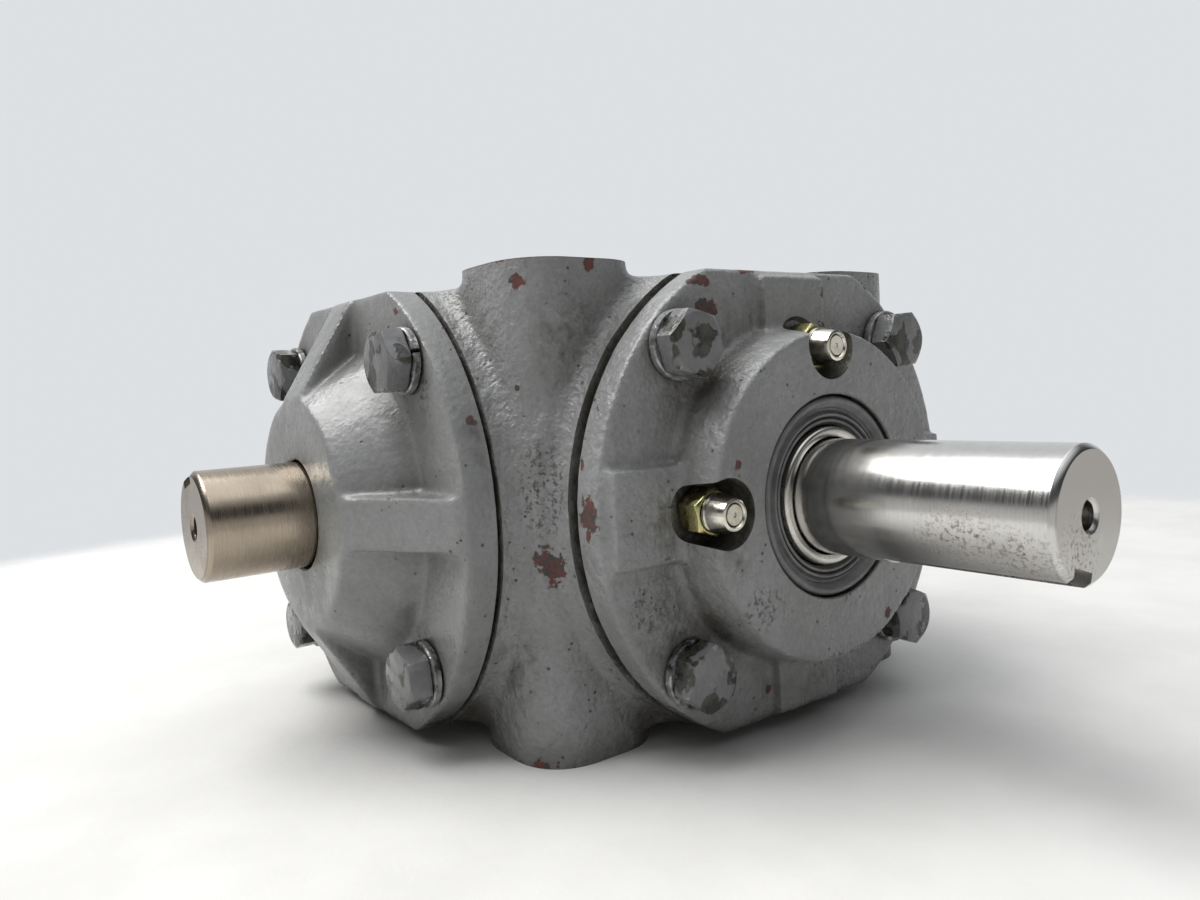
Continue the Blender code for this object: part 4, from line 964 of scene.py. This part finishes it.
def build_seal():
    """The seal's face has a rounded outer bead, a hollow, and two finer ridges round the wiper."""
    face = OUTPUT_HUB_FACE - 0.0004
    inner = WIPER_RADIUS + GAP
    outline = [(inner, SEAL_BACK), (SEAL_RADIUS, SEAL_BACK), (SEAL_RADIUS, face - 0.0010),
               (SEAL_RADIUS - 0.0003, face - 0.0004), (SEAL_RADIUS - 0.0010, face),
               (SEAL_RADIUS - 0.0017, face - 0.0003), (SEAL_RADIUS - 0.0021, face - 0.0009)]
    for step in range(9):
        across = step / 8
        radius = SEAL_RADIUS - 0.0024 - 0.0014 * across
        outline.append((radius, face - 0.0010 - 0.0006 * math.sin(math.pi * across)))
    for middle, depth in ((0.0180, 0.0008), (0.0167, 0.0011)):
        for step in range(7):
            angle = math.pi * step / 6
            outline.append((middle + 0.0005 * math.cos(angle), face - depth - 0.0007
                            + 0.0006 * math.sin(angle)))
    outline += [(inner + 0.0002, face - 0.0019), (inner, face - 0.0024)]
    bm = bmesh.new()
    lathe(bm, outline)
    seal = made("output_seal_moulding", bm, along("output"))
    finished(seal, "gearcase", "seal", MATERIALS["seal"], "output_seal", sharp=60)

    inner = SHAFT_RADIUS + GAP
    outline = [(inner, SEAL_BACK), (WIPER_RADIUS, SEAL_BACK), (WIPER_RADIUS, face - 0.0011),
               (WIPER_RADIUS - 0.0002, face - 0.0007), (WIPER_RADIUS - 0.0007, face - 0.0004),
               (inner + 0.0009, face - 0.0004), (inner + 0.0002, face - 0.0007), (inner, face - 0.0011)]
    bm = bmesh.new()
    lathe(bm, outline)
    ring = made("output_wiper_ring_turned", bm, along("output"))
    finished(ring, "gearcase", "polished_shaft", MATERIALS["wiper"], "output_wiper_ring", sharp=40)


def build_fitting(side, place):
    """A relief fitting: a chamfered hex on a threaded stem, and the round cap pushed over it."""
    hex_low = FITTING_POCKET_FLOOR + GAP
    hex_high = hex_low + FITTING_HEX_HEIGHT
    flat = FITTING_FLATS / 2
    matrix = along("output") @ Matrix.Translation((*place, 0))
    bm = bmesh.new()
    hexagon(bm, FITTING_FLATS, hex_low, hex_high)
    fitting = made("relief_fitting_{}_body".format(side), bm)
    bm = bmesh.new()
    lathe(bm, [(0, hex_high), (flat * 0.93, hex_high), (flat * 1.16, hex_high - 0.0007),
               (flat * 1.16, hex_low + 0.0007), (flat * 0.93, hex_low), (0, hex_low)], ROUND)
    boolean(fitting, made("tool", bm), "INTERSECT")
    soften = fitting.modifiers.new("Soften", "BEVEL")
    soften.width = 0.00015
    soften.segments = 2
    soften.limit_method = "ANGLE"
    soften.angle_limit = math.radians(24)
    applied(fitting)
    join(fitting, cylinder, FITTING_THREAD_RADIUS, hex_low - FITTING_THREAD_LENGTH, hex_low + 0.0005)
    join(fitting, cylinder, FITTING_STEM_RADIUS, hex_high - 0.0005, FITTING_TOP - CAP_ROOF - GAP)
    fitting.data.transform(matrix @ Matrix.Rotation(math.radians(9), 4, "Z"))
    finished(fitting, "gearcase", "yellow_zinc", MATERIALS["zinc"], "relief_fitting_" + side, sharp=28)

    top = FITTING_TOP
    low = hex_high + GAP
    roof = top - CAP_ROOF
    inside = FITTING_STEM_RADIUS + GAP
    outline = [(0, top - 0.0004), (0.0004, top - 0.0004), (0.0005, top - 0.0002),
               (0.0021, top - 0.0002),
               (0.0023, top - 0.0005), (0.0025, top - 0.0002), (0.0027, top), (0.0030, top),
               (0.0033, top - 0.0002), (CAP_RADIUS, low + 0.0014),
               (CAP_RADIUS, low + 0.0011), (CAP_RADIUS - 0.0003, low + 0.0008),
               (CAP_RADIUS, low + 0.0005), (CAP_RADIUS, low), (inside, low), (inside, roof), (0, roof)]
    bm = bmesh.new()
    lathe(bm, outline, 64)
    cap = made("relief_cap_{}_shell".format(side), bm, matrix)
    finished(cap, "gearcase", "cap_steel", MATERIALS["plate"], "relief_cap_" + side, sharp=35)


# ---------------------------------------------------------------- pieces inside the case

def dress_inner_nodes():
    """The pieces inside keep their frame shapes and get worked, oiled steel."""
    finishes = {
        "gear": ["output_gear", "input_pinion"],
        "dark": ["output_gear_key", "pinion_key", "output_gear_spacer", "pinion_retaining_ring",
                 "input_shaft_lock_ring", "input_bearing_snap_ring"],
        "seal": ["input_seal"],
        "roller": [],
    }
    for bearing in ("output_front", "output_rear", "input_outer", "input_inner"):
        finishes["gear"] += [bearing + "_bearing_cone", bearing + "_bearing_cup"]
        finishes["roller"].append(bearing + "_bearing_rollers")
    for finish, nodes in finishes.items():
        for node in nodes:
            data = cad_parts[node].data
            data.materials.clear()
            data.materials.append(MATERIALS[finish])


# ---------------------------------------------------------------- stage, light and camera

FLOOR_HEIGHT = cad_low.z
FLOOR_RADIUS = 0.8
CAMERA_PLACE = CROSSING + Vector((0.21808, -0.16021, 0.02662))
CAMERA_YAW, CAMERA_PITCH, CAMERA_ROLL = (math.radians(v) for v in (53.475, 3.935, -3.025))
CAMERA_LENS = 27.29


def build_floor():
    """A pale cloth that fades out behind the object."""
    bm = bmesh.new()
    lathe(bm, [(0, 0), (FLOOR_RADIUS, 0)], ROUND)
    floor = made("floor", bm, Matrix.Translation((0, 0, FLOOR_HEIGHT)))
    s = Shader("pale_cloth", 0.85)
    mottled = s.noise(0.05, 4.0, 0.6)
    colour = s.mix(s.ramp(mottled, 0.35, 0.7), (0.600, 0.596, 0.583), (0.655, 0.651, 0.638))
    s.set("Base Color", colour)
    s.bump((s.noise(0.03, 3.0), 0.0006), (s.noise(0.0015, 3.0), 0.00008))
    length = s.node("ShaderNodeVectorMath", operation="LENGTH")
    s.feed(length.inputs[0], s.place)
    wavy = s.math("MULTIPLY", s.noise(0.12, 2.0), 0.06)
    reach = s.math("ADD", length.outputs["Value"], wavy)
    s.set("Alpha", s.ramp(reach, 0.40, 0.47, 1.0, 0.0))
    floor.data.materials.append(s.material)


def build_world():
    """A pale room: bright above, a darker band level with the object on the camera's side."""
    world = bpy.data.worlds.new("studio")
    bpy.context.scene.world = world
    world.use_nodes = True
    tree = world.node_tree
    background = tree.nodes["Background"]
    place = tree.nodes.new("ShaderNodeTexCoord")
    split = tree.nodes.new("ShaderNodeSeparateXYZ")
    tree.links.new(place.outputs["Generated"], split.inputs[0])
    rise = tree.nodes.new("ShaderNodeValToRGB")
    low_end, high_end = rise.color_ramp.elements
    low_end.position, low_end.color = 0.0, (0.62, 0.61, 0.60, 1)
    high_end.position, high_end.color = 0.80, (0.86, 0.88, 0.91, 1)
    for position, color in ((0.16, (0.50, 0.50, 0.50, 1)), (0.30, (0.05, 0.052, 0.056, 1)),
                            (0.58, (0.06, 0.062, 0.066, 1))):
        rise.color_ramp.elements.new(position).color = color
    tree.links.new(split.outputs["Z"], rise.inputs[0])
    towards = Vector((math.sin(CAMERA_YAW), -math.cos(CAMERA_YAW), 0))
    dot = tree.nodes.new("ShaderNodeVectorMath")
    dot.operation = "DOT_PRODUCT"
    dot.inputs[1].default_value = towards
    tree.links.new(place.outputs["Generated"], dot.inputs[0])
    side = tree.nodes.new("ShaderNodeMapRange")
    side.inputs["From Min"].default_value = -0.75
    side.inputs["From Max"].default_value = -0.35
    tree.links.new(dot.outputs["Value"], side.inputs["Value"])
    blend = tree.nodes.new("ShaderNodeMix")
    blend.data_type = "RGBA"
    blend.inputs[6].default_value = (0.73, 0.75, 0.775, 1)
    tree.links.new(side.outputs["Result"], blend.inputs[0])
    tree.links.new(rise.outputs["Color"], blend.inputs[7])
    tree.links.new(blend.outputs[2], background.inputs["Color"])
    background.inputs["Strength"].default_value = 1.0


def add_light(name, place, target, width, height, watts, colour):
    data = bpy.data.lights.new(name, "AREA")
    data.shape = "RECTANGLE"
    data.size = width
    data.size_y = height
    data.energy = watts
    data.color = colour
    light = bpy.data.objects.new(name, data)
    light.location = place
    light.rotation_euler = (Vector(target) - Vector(place)).to_track_quat("-Z", "Y").to_euler()
    bpy.context.scene.collection.objects.link(light)


def build_camera():
    back = Vector((math.sin(CAMERA_YAW) * math.cos(CAMERA_PITCH),
                   -math.cos(CAMERA_YAW) * math.cos(CAMERA_PITCH), math.sin(CAMERA_PITCH)))
    right = (-back).cross(Vector((0, 0, 1))).normalized()
    up = right.cross(-back)
    side = math.cos(CAMERA_ROLL) * right + math.sin(CAMERA_ROLL) * up
    top = math.cos(CAMERA_ROLL) * up - math.sin(CAMERA_ROLL) * right
    data = bpy.data.cameras.new("camera")
    data.lens = CAMERA_LENS
    data.sensor_width = 36.0
    data.clip_start = 0.01
    camera = bpy.data.objects.new("camera", data)
    turn = Matrix((side, top, back)).transposed()
    camera.matrix_world = Matrix.Translation(CAMERA_PLACE) @ turn.to_4x4()
    bpy.context.scene.collection.objects.link(camera)
    bpy.context.scene.camera = camera


build_housing()
build_output_cover()
build_input_cover()
build_rear_cap()
build_gasket("output_shim_pack", "output", OUTPUT_FLANGE_BACK, "output_shims")
build_gasket("input_gasket_ring", "input", PLAIN_FLANGE_BACK, "input_gasket")
build_gasket("rear_gasket_ring", "rear", PLAIN_FLANGE_BACK, "rear_gasket")
build_screws("output", "output", OUTPUT_FLANGE_BACK)
build_screws("input", "input", PLAIN_FLANGE_BACK)
build_screws("rear", "rear", PLAIN_FLANGE_BACK)
build_output_shaft()
build_input_shaft()
build_seal()
for fitting_side, fitting_place in FITTING_PLACES.items():
    build_fitting(fitting_side, fitting_place)
dress_inner_nodes()

build_floor()
build_world()
add_light("key_window", (-0.42, -0.50, 1.30), (0, 0, 0.05), 1.1, 1.0, 24, (1.0, 0.99, 0.97))
add_light("ceiling", (0.1, 0.1, 1.3), (0, 0, 0), 1.2, 1.2, 3.0, (1.0, 1.0, 1.0))
build_camera()
bpy.context.scene.view_settings.view_transform = "Standard"
